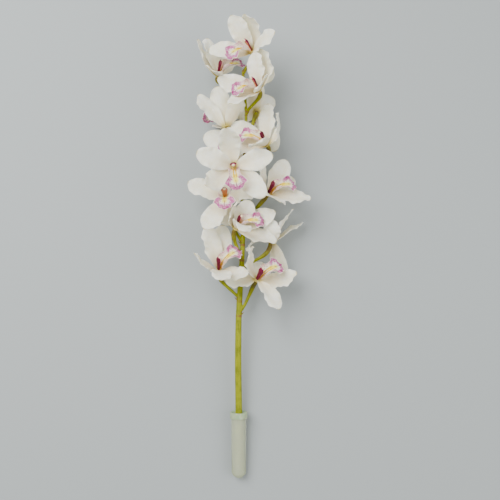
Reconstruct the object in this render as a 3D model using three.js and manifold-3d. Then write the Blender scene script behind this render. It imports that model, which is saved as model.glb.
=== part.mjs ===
// A cut cymbidium orchid spray with its water tube, laid down on a surface.
// Millimetres. +Z is up, +Y runs from the water tube to the tip of the spray.
//
// The spray is modelled straight along its own Y axis, its stem at z = 0, and is then laid down:
// it tilts and rolls until it stands on its water tube and on the lowest sepals or petals of each side.
import * as THREE from "three";
import { mergeVertices } from "three/addons/utils/BufferGeometryUtils.js";
import Module from "manifold-3d";

// ---- driving dimensions ------------------------------------------------------------------

const GAP = 0.3; // clearance between neighbouring pieces
const SNAP = 0.001; // points closer than this are one point

// water tube, its closed end at y = 0
const TUBE_LENGTH = 106;
const TUBE_MOUTH_RADIUS = 12.5; // outside
const TUBE_END_RADIUS = 11.6; // outside, where the round end begins
const TUBE_WALL = 1.2;
const TUBE_SIDES = 20;

// soft cap that closes the tube round the stem
const CAP_WALL = 1.5; // thickness of the skirt
const CAP_SKIRT = 8.2; // how far the skirt reaches down the tube
const CAP_TOP = 1.6; // thickness of the lip over the tube's edge
const CAP_DISH = 3.2; // how far the membrane sinks towards the stem

const WATER_LEVEL = 15; // height above the surface that the spray lies on
const WATER_GAP = 0.5; // between the cap and as far up the tube as the water can reach

// flower stalk: its axis and its radius at points from the cut end to the tip
const STEM_AXIS = [
  [0, 17, 0],
  [0, 60, 0],
  [0, 106, 0],
  [-1, 196, 0],
  [0, 265, 0],
  [3, 323, 0],
  [6, 374, 0],
  [8, 430, 0],
  [9, 490, 0],
  [10, 540, 0],
  [12, 592, 0],
  [10, 630, 1],
  [7, 664, 3],
];
const STEM_RADII = [5.7, 5.7, 5.6, 5.5, 5.3, 4.9, 4.4, 3.9, 3.5, 3.1, 2.7, 2.4, 2.2];
const STEM_STEPS = 30;
const STEM_SIDES = 9;

// flower stalks' side branches, from the stem to the back of each flower
const PEDICEL_START_RADIUS = 2.8;
const PEDICEL_END_RADIUS = 3.8; // the ovary, behind the flower
const PEDICEL_STEPS = 7;
const PEDICEL_SIDES = 6;
const BRACT = { length: 10, width: 7, thickness: 1.2 }; // the small leaf under each side branch
const CUT_SLANT = 38; // angle of the stem's cut end

// one flower, facing +Z with its crown towards +Y
const SEPAL = { length: 66, width: 35, shoulder: 0.7, point: 0.56 };
const PETAL = { length: 63, width: 32, shoulder: 0.78, point: 0.56 };
const TEPAL_BASE = 0.035; // share of the length that is cut away from the narrow end of the outline
const TEPAL_THICKNESS = 1.5;
const TEPAL_ROWS = 6;
const TEPAL_COLUMNS = 4;
// root is how far from the flower's axis the tepals start
const SEPAL_HUB = { radius: 5.6, root: 4.8, low: 0, high: 1.8 };
const PETAL_HUB = { radius: 4.2, root: 3.4, low: 2.1, high: 3.9 };
const HUB_SIDES = 9;
const PETAL_ANGLE = 66; // from the crown, to each side
const LATERAL_ANGLE = 128;

const LIP_LENGTH = 51;
const LIP_THICKNESS = 1.5;
const LIP_ROWS = 8;
const LIP_COLUMNS = 6;
const LIP_START = [0, -3.2, 4.2];
// half width of the lip along its length: side lobes, waist, broad front lobe, point
const LIP_HALF_WIDTH = [
  [0, 3.5],
  [0.18, 9],
  [0.36, 16],
  [0.52, 11.5],
  [0.72, 18],
  [0.88, 11],
  [1, 0],
];
// half angle of the arc that the lip's cross-section is curled to
const LIP_CURL = [
  [0, 30],
  [0.2, 80],
  [0.4, 98],
  [0.56, 55],
  [0.72, 18],
  [1, -12],
];
const LIP_RISE = 80; // angle between the lip's root and the flower's back plane
const LIP_BEND = { arch: 22, tip: 88 };

const COLUMN_LENGTH = 25;
const COLUMN_START = [0, 1.1, 4.2];
const COLUMN_BEND = { arch: 20, tip: -22 };
const COLUMN_ROWS = 5;
const COLUMN_SIDES = 6;
// half width and half thickness along the column
const COLUMN_HALF_WIDTH = [
  [0, 2.9],
  [0.45, 4.1],
  [0.82, 5.3],
  [1, 3.2],
];
const COLUMN_HALF_THICKNESS = [
  [0, 2.3],
  [0.5, 2.9],
  [0.82, 3.6],
  [1, 2.4],
];

// Usual bends of the five tepals, in degrees. rise is the lean forwards at the root, arch and tip are
// the bends backwards over the lower and the upper part, cup curls the edges forwards.
const DORSAL_HABIT = { rise: 28, arch: -14, tip: -8, cup: 32, cupTip: 20 };
const PETAL_HABIT = { rise: 34, arch: -4, tip: 14, cup: 32, cupTip: 16 };
const LATERAL_HABIT = { rise: 24, arch: -6, tip: 10, cup: 28, cupTip: 16 };

// The flowers, from the lowest to the tip. at is the middle of the flower's back, faces the way it looks,
// crown the way its upper sepal stands, node how far up the stalk its branch leaves. A tepal's aim is
// the way from its root to its tip, where it is not the usual one.
const FLOWERS = [
  {
    node: 269,
    at: [29, 324, 14],
    faces: [0.42, 0.68, 0.6],
    crown: [-0.75, -0.05, 0.6],
    dorsal: { aim: [-0.75, 0, 0.25], stretch: 0.75 },
    left: { aim: [0.95, 0.2, 0.05], arch: -45, tip: -20 },
    right: { aim: [0.2, 0.45, -0.8], stretch: 0.75 },
    leftPetal: { aim: [0.54, -0.73, 0.54], arch: 8 },
    rightPetal: { aim: [-0.1, 0.75, 0.45], arch: -40, tip: -20 },
  },
  {
    node: 293,
    at: [-32, 340, 20],
    faces: [0.15, 0.75, 0.62],
    crown: [-0.85, -0.25, 0.45],
    dorsal: { aim: [-0.45, 0.4, 0.75], arch: -20, tip: -10 },
    left: { aim: [0.75, -0.1, 0.42], stretch: 0.75 },
    right: { aim: [0.08, 0.98, -0.15], stretch: 1.08 },
    leftPetal: { aim: [0.1, -0.2, 0.9], arch: 5, tip: 30 },
    rightPetal: { aim: [-0.25, 0.96, 0.05], stretch: 1.12 },
  },
  {
    node: 340,
    at: [52, 385, -3],
    faces: [0.05, 0.98, -0.05],
    crown: [0, 0.1, 1],
    dorsal: { aim: [0.05, 0.75, 0.35], arch: -60, tip: -40, stretch: 0.7, breadth: 0.8 },
    left: { aim: [0.75, 0.5, -0.35] },
    right: { aim: [0.25, -0.9, -0.25] },
    leftPetal: { aim: [0.55, 0.82, 0] },
    rightPetal: { aim: [-0.7, -0.35, 0.14], arch: 30, tip: 60, stretch: 0.7 },
  },
  {
    node: 360,
    at: [-5, 408, 22],
    faces: [0.42, 0.62, 0.65],
    crown: [-0.85, 0.3, 0.3],
    dorsal: { aim: [0.15, 0.74, 0.62], arch: -45, tip: -20, stretch: 0.85 },
    left: { aim: [0.93, -0.3, 0.2] },
    right: { aim: [0.88, 0.38, -0.05] },
    leftPetal: { aim: [0.15, -0.1, 0.9], arch: 20, tip: 50 },
    rightPetal: { aim: [0.46, 0.84, 0.06], stretch: 0.74 },
  },
  {
    node: 385,
    at: [-21, 455, 14],
    faces: [-0.05, 0.45, 0.88],
    crown: [-0.05, 0.88, -0.45],
    dorsal: { aim: [-0.15, 0.95, -0.2] },
    left: { aim: [-0.4, -0.62, 0.5] },
    right: { aim: [0.1, -0.8, -0.2], stretch: 0.6 },
    leftPetal: { aim: [-0.8, 0.35, 0.1] },
    rightPetal: { aim: [0.75, 0.24, 0.05], stretch: 0.88 },
  },
  {
    node: 419,
    at: [47, 463, 12],
    faces: [0.48, 0.66, 0.58],
    crown: [-0.75, 0.2, 0.5],
    dorsal: { aim: [0.05, 0.83, 0.5], arch: -45, tip: -20 },
    left: { aim: [0.97, -0.08, 0.1] },
    right: { aim: [0.6, 0.45, -0.6] },
    leftPetal: { aim: [0.25, -0.25, 0.9] },
    rightPetal: { aim: [0.45, 0.83, -0.2] },
  },
  {
    node: 446,
    at: [-7, 506, 36],
    faces: [0, -0.12, 0.99],
    crown: [-0.16, 0.98, 0.1],
    dorsal: { aim: [-0.15, 0.72, 0.55], arch: -50, tip: -10 },
    left: { aim: [-0.6, -0.5, 0.6], arch: -30, tip: -30, breadth: 0.9 },
    right: { aim: [0.7, -0.68, 0.2] },
    leftPetal: { aim: [-0.88, 0.3, 0.4], arch: 12 },
    rightPetal: { aim: [0.93, 0.25, 0.3] },
  },
  {
    node: 500,
    at: [6, 550, -28],
    faces: [-0.4, 0.2, 0.9],
    crown: [0.6, 0.75, 0.1],
    dorsal: { aim: [0.35, 0.85, -0.4], stretch: 0.65 },
    left: { aim: [-0.85, 0.2, -0.2] },
    right: { aim: [-0.45, -0.85, -0.1] },
    leftPetal: { aim: [-0.4, 0.65, 0], stretch: 0.6 },
    rightPetal: { aim: [0.75, 0.05, 0.3], stretch: 0.6 },
  },
  {
    node: 494,
    at: [46, 543, 16],
    faces: [-0.5, 0.58, 0.62],
    crown: [0.7, 0.2, 0.5],
    dorsal: { aim: [0.15, 0.6, 0.72], arch: -45, tip: -25 },
    left: { aim: [-0.82, 0.52, -0.16] },
    right: { aim: [-0.9, -0.15, 0.2] },
    leftPetal: { aim: [0.03, 0.9, -0.04] },
    rightPetal: { aim: [-0.3, -0.1, 0.93] },
  },
  {
    node: 535,
    at: [-20, 573, 8],
    faces: [-0.25, 0.9, -0.4],
    crown: [0.8, 0.35, 0.35],
    dorsal: { aim: [0.33, 0.85, 0.13], stretch: 0.95 },
    left: { aim: [-0.2, 0.3, -0.85], stretch: 0.85 },
    right: { aim: [-0.62, 0.74, 0.05], breadth: 0.8 },
    leftPetal: { aim: [0.05, 0.62, -0.7], stretch: 0.8 },
    rightPetal: { aim: [-0.22, 0.93, 0.2] },
  },
  {
    node: 556,
    at: [30, 600, -6],
    faces: [0.2, 0.3, -0.93],
    crown: [0, 0.95, 0.3],
    dorsal: { aim: [-0.1, 0.95, -0.15], stretch: 0.85 },
    left: { aim: [0.42, -0.86, -0.1] },
    right: { aim: [-0.75, 0.1, -0.45], stretch: 0.6 },
    leftPetal: { aim: [0.4, 0.55, -0.6], stretch: 0.8 },
    rightPetal: { aim: [-0.35, 0.6, -0.55], stretch: 0.8 },
  },
  {
    node: 598,
    at: [33, 630, 20],
    faces: [-0.5, 0.45, 0.72],
    crown: [0.65, 0.65, 0.1],
    dorsal: { aim: [0, 0.9, 0.35], arch: -50, tip: -30 },
    left: { aim: [-0.96, 0.27, 0.12] },
    right: { aim: [-0.6, -0.35, 0.6] },
    leftPetal: { aim: [-0.12, 0.9, 0.3], stretch: 0.9 },
    rightPetal: { aim: [0.1, 0.05, 0.98] },
  },
  {
    node: 636,
    at: [-35, 660, -10],
    faces: [0.35, 0.72, 0.55],
    crown: [-0.8, 0.2, 0.35],
    dorsal: { aim: [-0.38, 0.7, 0.45], arch: -30 },
    left: { aim: [0.35, -0.3, -0.7], stretch: 0.75 },
    right: { aim: [0.35, 0.75, -0.55] },
    leftPetal: { aim: [-0.15, -0.05, 0.9], stretch: 0.85 },
    rightPetal: { aim: [-0.25, 0.9, -0.05] },
  },
  {
    node: 664,
    at: [22, 694, 14],
    faces: [-0.5, 0.35, 0.78],
    crown: [0.6, 0.75, 0.1],
    dorsal: { aim: [-0.2, 0.68, 0.58], arch: -50, tip: -30 },
    left: { aim: [-0.97, 0.05, 0.05] },
    right: { aim: [0.5, -0.65, -0.45], stretch: 0.85 },
    leftPetal: { aim: [-0.48, 0.72, 0.42] },
    rightPetal: { aim: [0.5, 0.2, 0.8] },
  },
];

// ---- tools -------------------------------------------------------------------------------

const wasm = await Module();
wasm.setup();
const rad = THREE.MathUtils.degToRad;
const lerp = THREE.MathUtils.lerp;

// The value at u of a list of [station, value], eased from each station to the next.
function along(stations, u) {
  const after = stations.findIndex(([station]) => station >= u);
  if (after <= 0) return stations[0][1];
  const [from, low] = stations[after - 1];
  const [to, high] = stations[after];
  return lerp(low, high, THREE.MathUtils.smoothstep(u, from, to));
}

// A closed geometry from points and faces.
function geometryOf(points, faces) {
  const positions = new Float32Array(points.flatMap((p) => p.toArray()));
  const geometry = new THREE.BufferGeometry();
  geometry.setAttribute("position", new THREE.BufferAttribute(positions, 3));
  geometry.setIndex(faces.flat());
  return geometry;
}

function solidOf(geometry) {
  const bare = geometry.clone();
  bare.deleteAttribute("normal");
  bare.deleteAttribute("uv");
  const merged = mergeVertices(bare, 1e-4);
  return new wasm.Manifold(
    new wasm.Mesh({
      numProp: 3,
      vertProperties: new Float32Array(merged.attributes.position.array),
      triVerts: new Uint32Array(merged.index.array),
    }),
  );
}

// The geometry of a solid, with points closer than SNAP made one and the faces that this closes left out.
function geometryFrom(solid) {
  const mesh = solid.getMesh();
  const geometry = new THREE.BufferGeometry();
  geometry.setAttribute("position", new THREE.BufferAttribute(mesh.vertProperties, 3));
  geometry.setIndex(new THREE.BufferAttribute(mesh.triVerts, 1));
  const snapped = mergeVertices(geometry, SNAP);
  const corners = snapped.index.array;
  const open = [];
  for (let i = 0; i < corners.length; i += 3) {
    const [a, b, c] = corners.subarray(i, i + 3);
    if (a !== b && b !== c && c !== a) open.push(a, b, c);
  }
  return snapped.setIndex(open);
}

function joined(geometries) {
  return geometryFrom(geometries.map(solidOf).reduce((a, b) => a.add(b)));
}

// Frames along a strip that starts at a frame and turns a little at each step.
// along runs down the strip, face is its upper side and across lies between its edges.
function walk(start, length, rows, { arch = 0, tip = 0 }) {
  const frame = { at: start.at.clone(), along: start.along.clone(), face: start.face.clone() };
  const frames = [];
  const halfStep = length / rows / 2;
  for (let row = 0; row <= rows; row++) {
    const across = new THREE.Vector3().crossVectors(frame.along, frame.face);
    frames.push({ at: frame.at.clone(), along: frame.along.clone(), face: frame.face.clone(), across });
    const u = (row + 0.5) / rows;
    const bend = -rad((2 * (arch * (1 - u) + tip * u)) / rows);
    const turn = new THREE.Quaternion().setFromAxisAngle(across, bend);
    frame.at.addScaledVector(frame.along, halfStep);
    frame.along.applyQuaternion(turn).normalize();
    frame.face.applyQuaternion(turn).normalize();
    frame.at.addScaledVector(frame.along, halfStep);
  }
  return frames;
}

// A leaf-like closed solid on a strip's frames: full thickness along the middle, sharp edges and tip.
function bladeGeometry(frames, columns, thickness, halfWidthAt, curlAt) {
  const rows = frames.length - 1;
  const points = [];
  const front = [];
  const back = [];
  frames.slice(0, rows).forEach((frame, row) => {
    const u = row / rows;
    const curl = rad(curlAt(u)) || 1e-6;
    const radius = halfWidthAt(u) / curl;
    front.push([]);
    back.push([]);
    for (let column = 0; column <= columns; column++) {
      const v = (2 * column) / columns - 1;
      const turn = curl * v;
      const middle = frame.at
        .clone()
        .addScaledVector(frame.across, radius * Math.sin(turn))
        .addScaledVector(frame.face, radius * (1 - Math.cos(turn)));
      const onEdge = row === 0 || column === 0 || column === columns;
      const half = onEdge ? 0 : (thickness / 2) * (1 - v * v) * Math.min(1, 2 - 2 * u);
      const normal = frame.face
        .clone()
        .multiplyScalar(Math.cos(turn))
        .addScaledVector(frame.across, -Math.sin(turn));
      front[row].push(points.push(middle.clone().addScaledVector(normal, half)) - 1);
      const opposite = middle.clone().addScaledVector(normal, -half);
      back[row].push(onEdge ? front[row][column] : points.push(opposite) - 1);
    }
  });
  const tip = points.push(frames[rows].at.clone()) - 1;
  const faces = [];
  for (let column = 0; column < columns; column++) {
    for (let row = 0; row < rows - 1; row++) {
      for (const [sheet, facing] of [
        [front, 1],
        [back, -1],
      ]) {
        const [a, b] = [sheet[row][column], sheet[row][column + 1]];
        const [c, d] = [sheet[row + 1][column], sheet[row + 1][column + 1]];
        faces.push(facing > 0 ? [a, b, d] : [a, d, b], facing > 0 ? [a, d, c] : [a, c, d]);
      }
    }
    const last = rows - 1;
    faces.push([front[last][column], front[last][column + 1], tip]);
    faces.push([back[last][column + 1], back[last][column], tip]);
  }
  return geometryOf(points, faces);
}

// A closed tube on a list of frames, its half width and half thickness given along it.
function tubeGeometry(frames, sides, halfWidthAt, halfThicknessAt = halfWidthAt) {
  const rows = frames.length - 1;
  const points = [];
  frames.forEach((frame, row) => {
    const u = row / rows;
    for (let side = 0; side < sides; side++) {
      const turn = (2 * Math.PI * side) / sides;
      points.push(
        frame.at
          .clone()
          .addScaledVector(frame.across, halfWidthAt(u) * Math.cos(turn))
          .addScaledVector(frame.face, halfThicknessAt(u) * Math.sin(turn)),
      );
    }
  });
  const bottom = points.push(frames[0].at.clone()) - 1;
  const top = points.push(frames[rows].at.clone()) - 1;
  const faces = [];
  for (let side = 0; side < sides; side++) {
    const next = (side + 1) % sides;
    for (let row = 0; row < rows; row++) {
      const [a, b] = [row * sides + side, row * sides + next];
      const [c, d] = [a + sides, b + sides];
      faces.push([a, c, b], [b, c, d]);
    }
    faces.push([bottom, side, next], [top, rows * sides + next, rows * sides + side]);
  }
  return geometryOf(points, faces);
}

// Frames along a three.js curve.
function framesOf(curve, steps) {
  const { normals, binormals } = curve.computeFrenetFrames(steps, false);
  return normals.map((normal, step) => {
    const u = step / steps;
    return { at: curve.getPointAt(u), along: curve.getTangentAt(u), face: normal, across: binormals[step] };
  });
}

// ---- one flower --------------------------------------------------------------------------

// The outline of a tepal: narrow at its root, widest past the middle and pointed.
function tepalHalfWidth({ width, shoulder, point }, u) {
  const widest = (shoulder - point * TEPAL_BASE) / (shoulder + point);
  const outline = (x) => (x + TEPAL_BASE) ** shoulder * (1 - x) ** point;
  return ((width / 2) * outline(u)) / outline(widest);
}

// One sepal or petal, rooted in a hub. Its angle from the crown and its rise are those of its habit,
// or those that carry its tip towards its aim, which is given in the flower's own frame.
function tepalGeometry(kind, hub, habit) {
  const { aim, arch, tip } = habit;
  const angle = aim ? Math.atan2(aim.x, aim.y) : rad(habit.angle);
  const lean = aim ? Math.atan2(aim.z, Math.hypot(aim.x, aim.y)) : rad(habit.rise);
  const rise = aim ? lean + rad((2 * arch + tip) / 3) : lean;
  const outwards = new THREE.Vector3(Math.sin(angle), Math.cos(angle), 0);
  const forwards = new THREE.Vector3(0, 0, 1);
  const start = {
    at: outwards.clone().multiplyScalar(hub.root).setZ((hub.low + hub.high) / 2),
    along: outwards.clone().multiplyScalar(Math.cos(rise)).addScaledVector(forwards, Math.sin(rise)),
    face: forwards.clone().multiplyScalar(Math.cos(rise)).addScaledVector(outwards, -Math.sin(rise)),
  };
  return bladeGeometry(
    walk(start, kind.length * (habit.stretch ?? 1), TEPAL_ROWS, habit),
    TEPAL_COLUMNS,
    TEPAL_THICKNESS,
    (u) => tepalHalfWidth(kind, u) * (habit.breadth ?? 1),
    (u) => lerp(habit.cup, habit.cupTip, u),
  );
}

function hubGeometry({ radius, low, high }) {
  return new THREE.CylinderGeometry(radius, radius, high - low, HUB_SIDES)
    .rotateX(Math.PI / 2)
    .translate(0, 0, (low + high) / 2);
}

// The tepal's habit with its own changes, its aim turned into the flower's frame.
function habitOf(usual, angle, own, place) {
  const aim = own?.aim && new THREE.Vector3(...own.aim).transformDirection(place.clone().invert());
  return { angle, ...usual, ...own, aim };
}

function sepalsGeometry({ dorsal, left, right }, place) {
  return joined([
    hubGeometry(SEPAL_HUB),
    tepalGeometry(SEPAL, SEPAL_HUB, habitOf(DORSAL_HABIT, 0, dorsal, place)),
    tepalGeometry(SEPAL, SEPAL_HUB, habitOf(LATERAL_HABIT, -LATERAL_ANGLE, left, place)),
    tepalGeometry(SEPAL, SEPAL_HUB, habitOf(LATERAL_HABIT, LATERAL_ANGLE, right, place)),
  ]);
}

function petalsGeometry({ leftPetal, rightPetal }, place) {
  return joined([
    hubGeometry(PETAL_HUB),
    tepalGeometry(PETAL, PETAL_HUB, habitOf(PETAL_HABIT, -PETAL_ANGLE, leftPetal, place)),
    tepalGeometry(PETAL, PETAL_HUB, habitOf(PETAL_HABIT, PETAL_ANGLE, rightPetal, place)),
  ]);
}

function lipGeometry() {
  const rise = rad(LIP_RISE);
  const start = {
    at: new THREE.Vector3(...LIP_START),
    along: new THREE.Vector3(0, -Math.cos(rise), Math.sin(rise)),
    face: new THREE.Vector3(0, Math.sin(rise), Math.cos(rise)),
  };
  return bladeGeometry(
    walk(start, LIP_LENGTH, LIP_ROWS, LIP_BEND),
    LIP_COLUMNS,
    LIP_THICKNESS,
    (u) => along(LIP_HALF_WIDTH, u),
    (u) => along(LIP_CURL, u),
  );
}

function columnGeometry() {
  const start = {
    at: new THREE.Vector3(...COLUMN_START),
    along: new THREE.Vector3(0, 0, 1),
    face: new THREE.Vector3(0, -1, 0),
  };
  return tubeGeometry(
    walk(start, COLUMN_LENGTH, COLUMN_ROWS, COLUMN_BEND),
    COLUMN_SIDES,
    (u) => along(COLUMN_HALF_WIDTH, u),
    (u) => along(COLUMN_HALF_THICKNESS, u),
  );
}

// ---- materials ---------------------------------------------------------------------------

const white = { color: 0xf1ece0, roughness: 0.55, metalness: 0 };

function clear(look) {
  return new THREE.MeshStandardMaterial({ ...look, metalness: 0, transparent: true });
}

const MATERIALS = {
  sepals: new THREE.MeshStandardMaterial(white),
  petals: new THREE.MeshStandardMaterial({ ...white, color: 0xf4f0e6 }),
  lip: new THREE.MeshStandardMaterial({ color: 0xe3b0cc, roughness: 0.5, metalness: 0 }),
  column: new THREE.MeshStandardMaterial({ color: 0x8a1f4a, roughness: 0.45, metalness: 0 }),
  stem: new THREE.MeshStandardMaterial({ color: 0x8f9418, roughness: 0.5, metalness: 0 }),
  tube: clear({ color: 0xd9ded0, roughness: 0.35, opacity: 0.5 }),
  cap: clear({ color: 0xc9d6c0, roughness: 0.45, opacity: 0.7 }),
  water: clear({ color: 0xd6dcae, roughness: 0.05, opacity: 0.4 }),
};

function named(name, geometry, material) {
  const mesh = new THREE.Mesh(geometry, material);
  mesh.name = name;
  return mesh;
}

// ---- the spray ---------------------------------------------------------------------------

const stemCurve = new THREE.CatmullRomCurve3(STEM_AXIS.map((p) => new THREE.Vector3(...p)));

function stemRadius(u) {
  const place = u * (STEM_RADII.length - 1);
  const before = Math.min(Math.floor(place), STEM_RADII.length - 2);
  return lerp(STEM_RADII[before], STEM_RADII[before + 1], place - before);
}

// Where the stem's axis is at a distance up the spray.
function stemPointAt(height) {
  let [low, high] = [0, 1];
  for (let i = 0; i < 24; i++) {
    const middle = (low + high) / 2;
    if (stemCurve.getPoint(middle).y < height) low = middle;
    else high = middle;
  }
  return stemCurve.getPoint(low);
}

function stemRadiusAt(height) {
  const heights = STEM_AXIS.map(([, y]) => y);
  const above = Math.max(1, heights.findIndex((y) => y >= height));
  const share = (height - heights[above - 1]) / (heights[above] - heights[above - 1]);
  return lerp(STEM_RADII[above - 1], STEM_RADII[above], share);
}

// The flower's own frame in the spray: it looks along +Z and its crown is +Y.
function placeOf({ at, faces, crown }) {
  const face = new THREE.Vector3(...faces).normalize();
  const right = new THREE.Vector3(...crown).cross(face).normalize();
  const up = new THREE.Vector3().crossVectors(face, right);
  return new THREE.Matrix4().makeBasis(right, up, face).setPosition(...at);
}

function pedicelGeometry(flower) {
  const end = new THREE.Vector3(...flower.at);
  const face = new THREE.Vector3(...flower.faces).normalize();
  const start = stemPointAt(flower.node);
  const reach = start.distanceTo(end);
  const outwards = end.clone().sub(start).setY(0).normalize();
  const leaving = new THREE.Vector3(0, 0.75, 0).addScaledVector(outwards, 0.65);
  const curve = new THREE.CubicBezierCurve3(
    start,
    start.clone().addScaledVector(leaving, reach * 0.4),
    end.clone().addScaledVector(face, -reach * 0.4),
    end.clone().addScaledVector(face, -GAP),
  );
  return tubeGeometry(framesOf(curve, PEDICEL_STEPS), PEDICEL_SIDES, (u) =>
    lerp(PEDICEL_START_RADIUS, PEDICEL_END_RADIUS, u * u),
  );
}

// The small leaf on the stem under a side branch.
function bractGeometry(flower) {
  const node = stemPointAt(flower.node);
  const outwards = new THREE.Vector3(...flower.at).sub(node).setY(0).normalize();
  const radius = stemRadiusAt(flower.node);
  const along = new THREE.Vector3(0, 0.7, 0).addScaledVector(outwards, 0.7).normalize();
  const face = new THREE.Vector3(0, 0.7, 0).addScaledVector(outwards, -0.7).normalize();
  const at = node.addScaledVector(outwards, radius * 0.6).setY(flower.node - PEDICEL_START_RADIUS - 1);
  return bladeGeometry(
    walk({ at, along, face }, BRACT.length, 2, {}),
    2,
    BRACT.thickness,
    (u) => (BRACT.width / 2) * (1 - u * u),
    () => 50,
  );
}

// What is cut away from the stem's lower end.
function cutterGeometry() {
  const [x, y, z] = STEM_AXIS[0];
  const size = TUBE_MOUTH_RADIUS * 2;
  return new THREE.BoxGeometry(size, size, size)
    .translate(0, -size / 2, 0)
    .rotateX(rad(CUT_SLANT))
    .translate(x, y + STEM_RADII[0], z);
}

function stemGeometry() {
  const stem = tubeGeometry(framesOf(stemCurve, STEM_STEPS), STEM_SIDES, stemRadius);
  const whole = joined([stem, ...FLOWERS.map(pedicelGeometry), ...FLOWERS.map(bractGeometry)]);
  return geometryFrom(solidOf(whole).subtract(solidOf(cutterGeometry())));
}

// A profile of [radius, y] points turned about the tube's axis.
function turned(profile) {
  return new THREE.LatheGeometry(
    profile.map(([r, y]) => new THREE.Vector2(r, y)),
    TUBE_SIDES,
  );
}

// The round end of the tube's outside or inside, from the axis to the straight side.
function roundEnd(radius, y, steps) {
  return Array.from({ length: steps + 1 }, (_, i) => {
    const turn = (Math.PI / 2) * (i / steps);
    return [radius * Math.sin(turn), y - radius * Math.cos(turn)];
  });
}

function tubeSolid() {
  const inner = TUBE_END_RADIUS - TUBE_WALL;
  const outside = [...roundEnd(TUBE_END_RADIUS, TUBE_END_RADIUS, 4), [TUBE_MOUTH_RADIUS, TUBE_LENGTH]];
  const inside = [
    ...roundEnd(inner, TUBE_END_RADIUS, 4),
    [TUBE_MOUTH_RADIUS - TUBE_WALL, TUBE_LENGTH],
  ];
  return turned([...outside, ...inside.reverse()]);
}

function capGeometry() {
  const skirtInside = TUBE_MOUTH_RADIUS + GAP;
  const skirtOutside = skirtInside + CAP_WALL;
  const hole = stemRadiusAt(TUBE_LENGTH) + GAP * 2;
  const top = TUBE_LENGTH + GAP + CAP_TOP;
  return turned([
    [skirtInside, TUBE_LENGTH - CAP_SKIRT],
    [skirtOutside, TUBE_LENGTH - CAP_SKIRT],
    [skirtOutside, top],
    [TUBE_MOUTH_RADIUS - TUBE_WALL, top],
    [hole, top - CAP_DISH],
    [hole, top - CAP_DISH - CAP_TOP],
    [TUBE_MOUTH_RADIUS - TUBE_WALL - GAP, TUBE_LENGTH - CAP_TOP],
    [TUBE_MOUTH_RADIUS - TUBE_WALL - GAP, TUBE_LENGTH + GAP],
    [skirtInside, TUBE_LENGTH + GAP],
    [skirtInside, TUBE_LENGTH - CAP_SKIRT],
  ]);
}

// The room inside the tube, a gap away from its wall, from the round end up to a height.
function waterRoomGeometry() {
  const radius = TUBE_END_RADIUS - TUBE_WALL - GAP;
  const widening = (TUBE_MOUTH_RADIUS - TUBE_END_RADIUS) / (TUBE_LENGTH - TUBE_END_RADIUS);
  const waterEnd = TUBE_LENGTH + GAP - CAP_DISH - WATER_GAP;
  const endRadius = radius + widening * (waterEnd - TUBE_END_RADIUS);
  return turned([...roundEnd(radius, TUBE_END_RADIUS, 4), [endRadius, waterEnd], [0, waterEnd]]);
}

// The water left below a level surface, round the stem, once the spray lies down.
function waterGeometry(rest) {
  const size = TUBE_LENGTH * 4;
  const air = new THREE.BoxGeometry(size, size, size)
    .translate(0, 0, size / 2 + WATER_LEVEL)
    .applyMatrix4(rest.clone().invert());
  const roomRadius = (u) => stemRadius(u) + GAP * 1.2;
  const stemRoom = tubeGeometry(framesOf(stemCurve, STEM_STEPS), STEM_SIDES, roomRadius);
  return geometryFrom(solidOf(waterRoomGeometry()).subtract(solidOf(air)).subtract(solidOf(stemRoom)));
}

// ---- laying the spray down ---------------------------------------------------------------

// All corners of an object's meshes in its own frame, sorted by what they rest on.
function cornersOf(object) {
  const corners = { tube: [], left: [], right: [] };
  object.updateMatrixWorld(true);
  object.traverse((mesh) => {
    if (!mesh.isMesh) return;
    const positions = mesh.geometry.getAttribute("position");
    const onTube = mesh.name.includes("tube");
    for (let i = 0; i < positions.count; i++) {
      const corner = new THREE.Vector3().fromBufferAttribute(positions, i).applyMatrix4(mesh.matrixWorld);
      const side = corner.x < STEM_AXIS[6][0] ? "left" : "right";
      corners[onTube ? "tube" : side].push(corner);
    }
  });
  return corners;
}

function lowest(corners, turn) {
  return corners.reduce((low, corner) => Math.min(low, corner.clone().applyMatrix4(turn).z), Infinity);
}

function halving(low, high, isTooLow) {
  for (let i = 0; i < 20; i++) {
    const middle = (low + high) / 2;
    if (isTooLow(middle)) low = middle;
    else high = middle;
  }
  return low;
}

function turnBy(tilt, roll) {
  return new THREE.Matrix4().makeRotationX(tilt).multiply(new THREE.Matrix4().makeRotationY(roll));
}

// The tilt that brings the tube and the flowers down to the same surface at a roll.
function tiltFor(corners, roll) {
  const flowers = [...corners.left, ...corners.right];
  return halving(0, rad(20), (tilt) => {
    const turn = turnBy(tilt, roll);
    return lowest(flowers, turn) < lowest(corners.tube, turn);
  });
}

// The matrix that lays the spray on z = 0 with the middle of its box at x = 0 and y = 0.
function restOf(object) {
  const corners = cornersOf(object);
  const roll = halving(-rad(20), rad(20), (angle) => {
    const turn = turnBy(tiltFor(corners, angle), angle);
    return lowest(corners.left, turn) < lowest(corners.right, turn);
  });
  const rest = turnBy(tiltFor(corners, roll), roll);
  const box = new THREE.Box3();
  const all = [...corners.tube, ...corners.left, ...corners.right];
  all.forEach((corner) => box.expandByPoint(corner.clone().applyMatrix4(rest)));
  const middle = box.getCenter(new THREE.Vector3());
  return rest.premultiply(new THREE.Matrix4().makeTranslation(-middle.x, -middle.y, -box.min.z));
}

// ---- building ----------------------------------------------------------------------------

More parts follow.
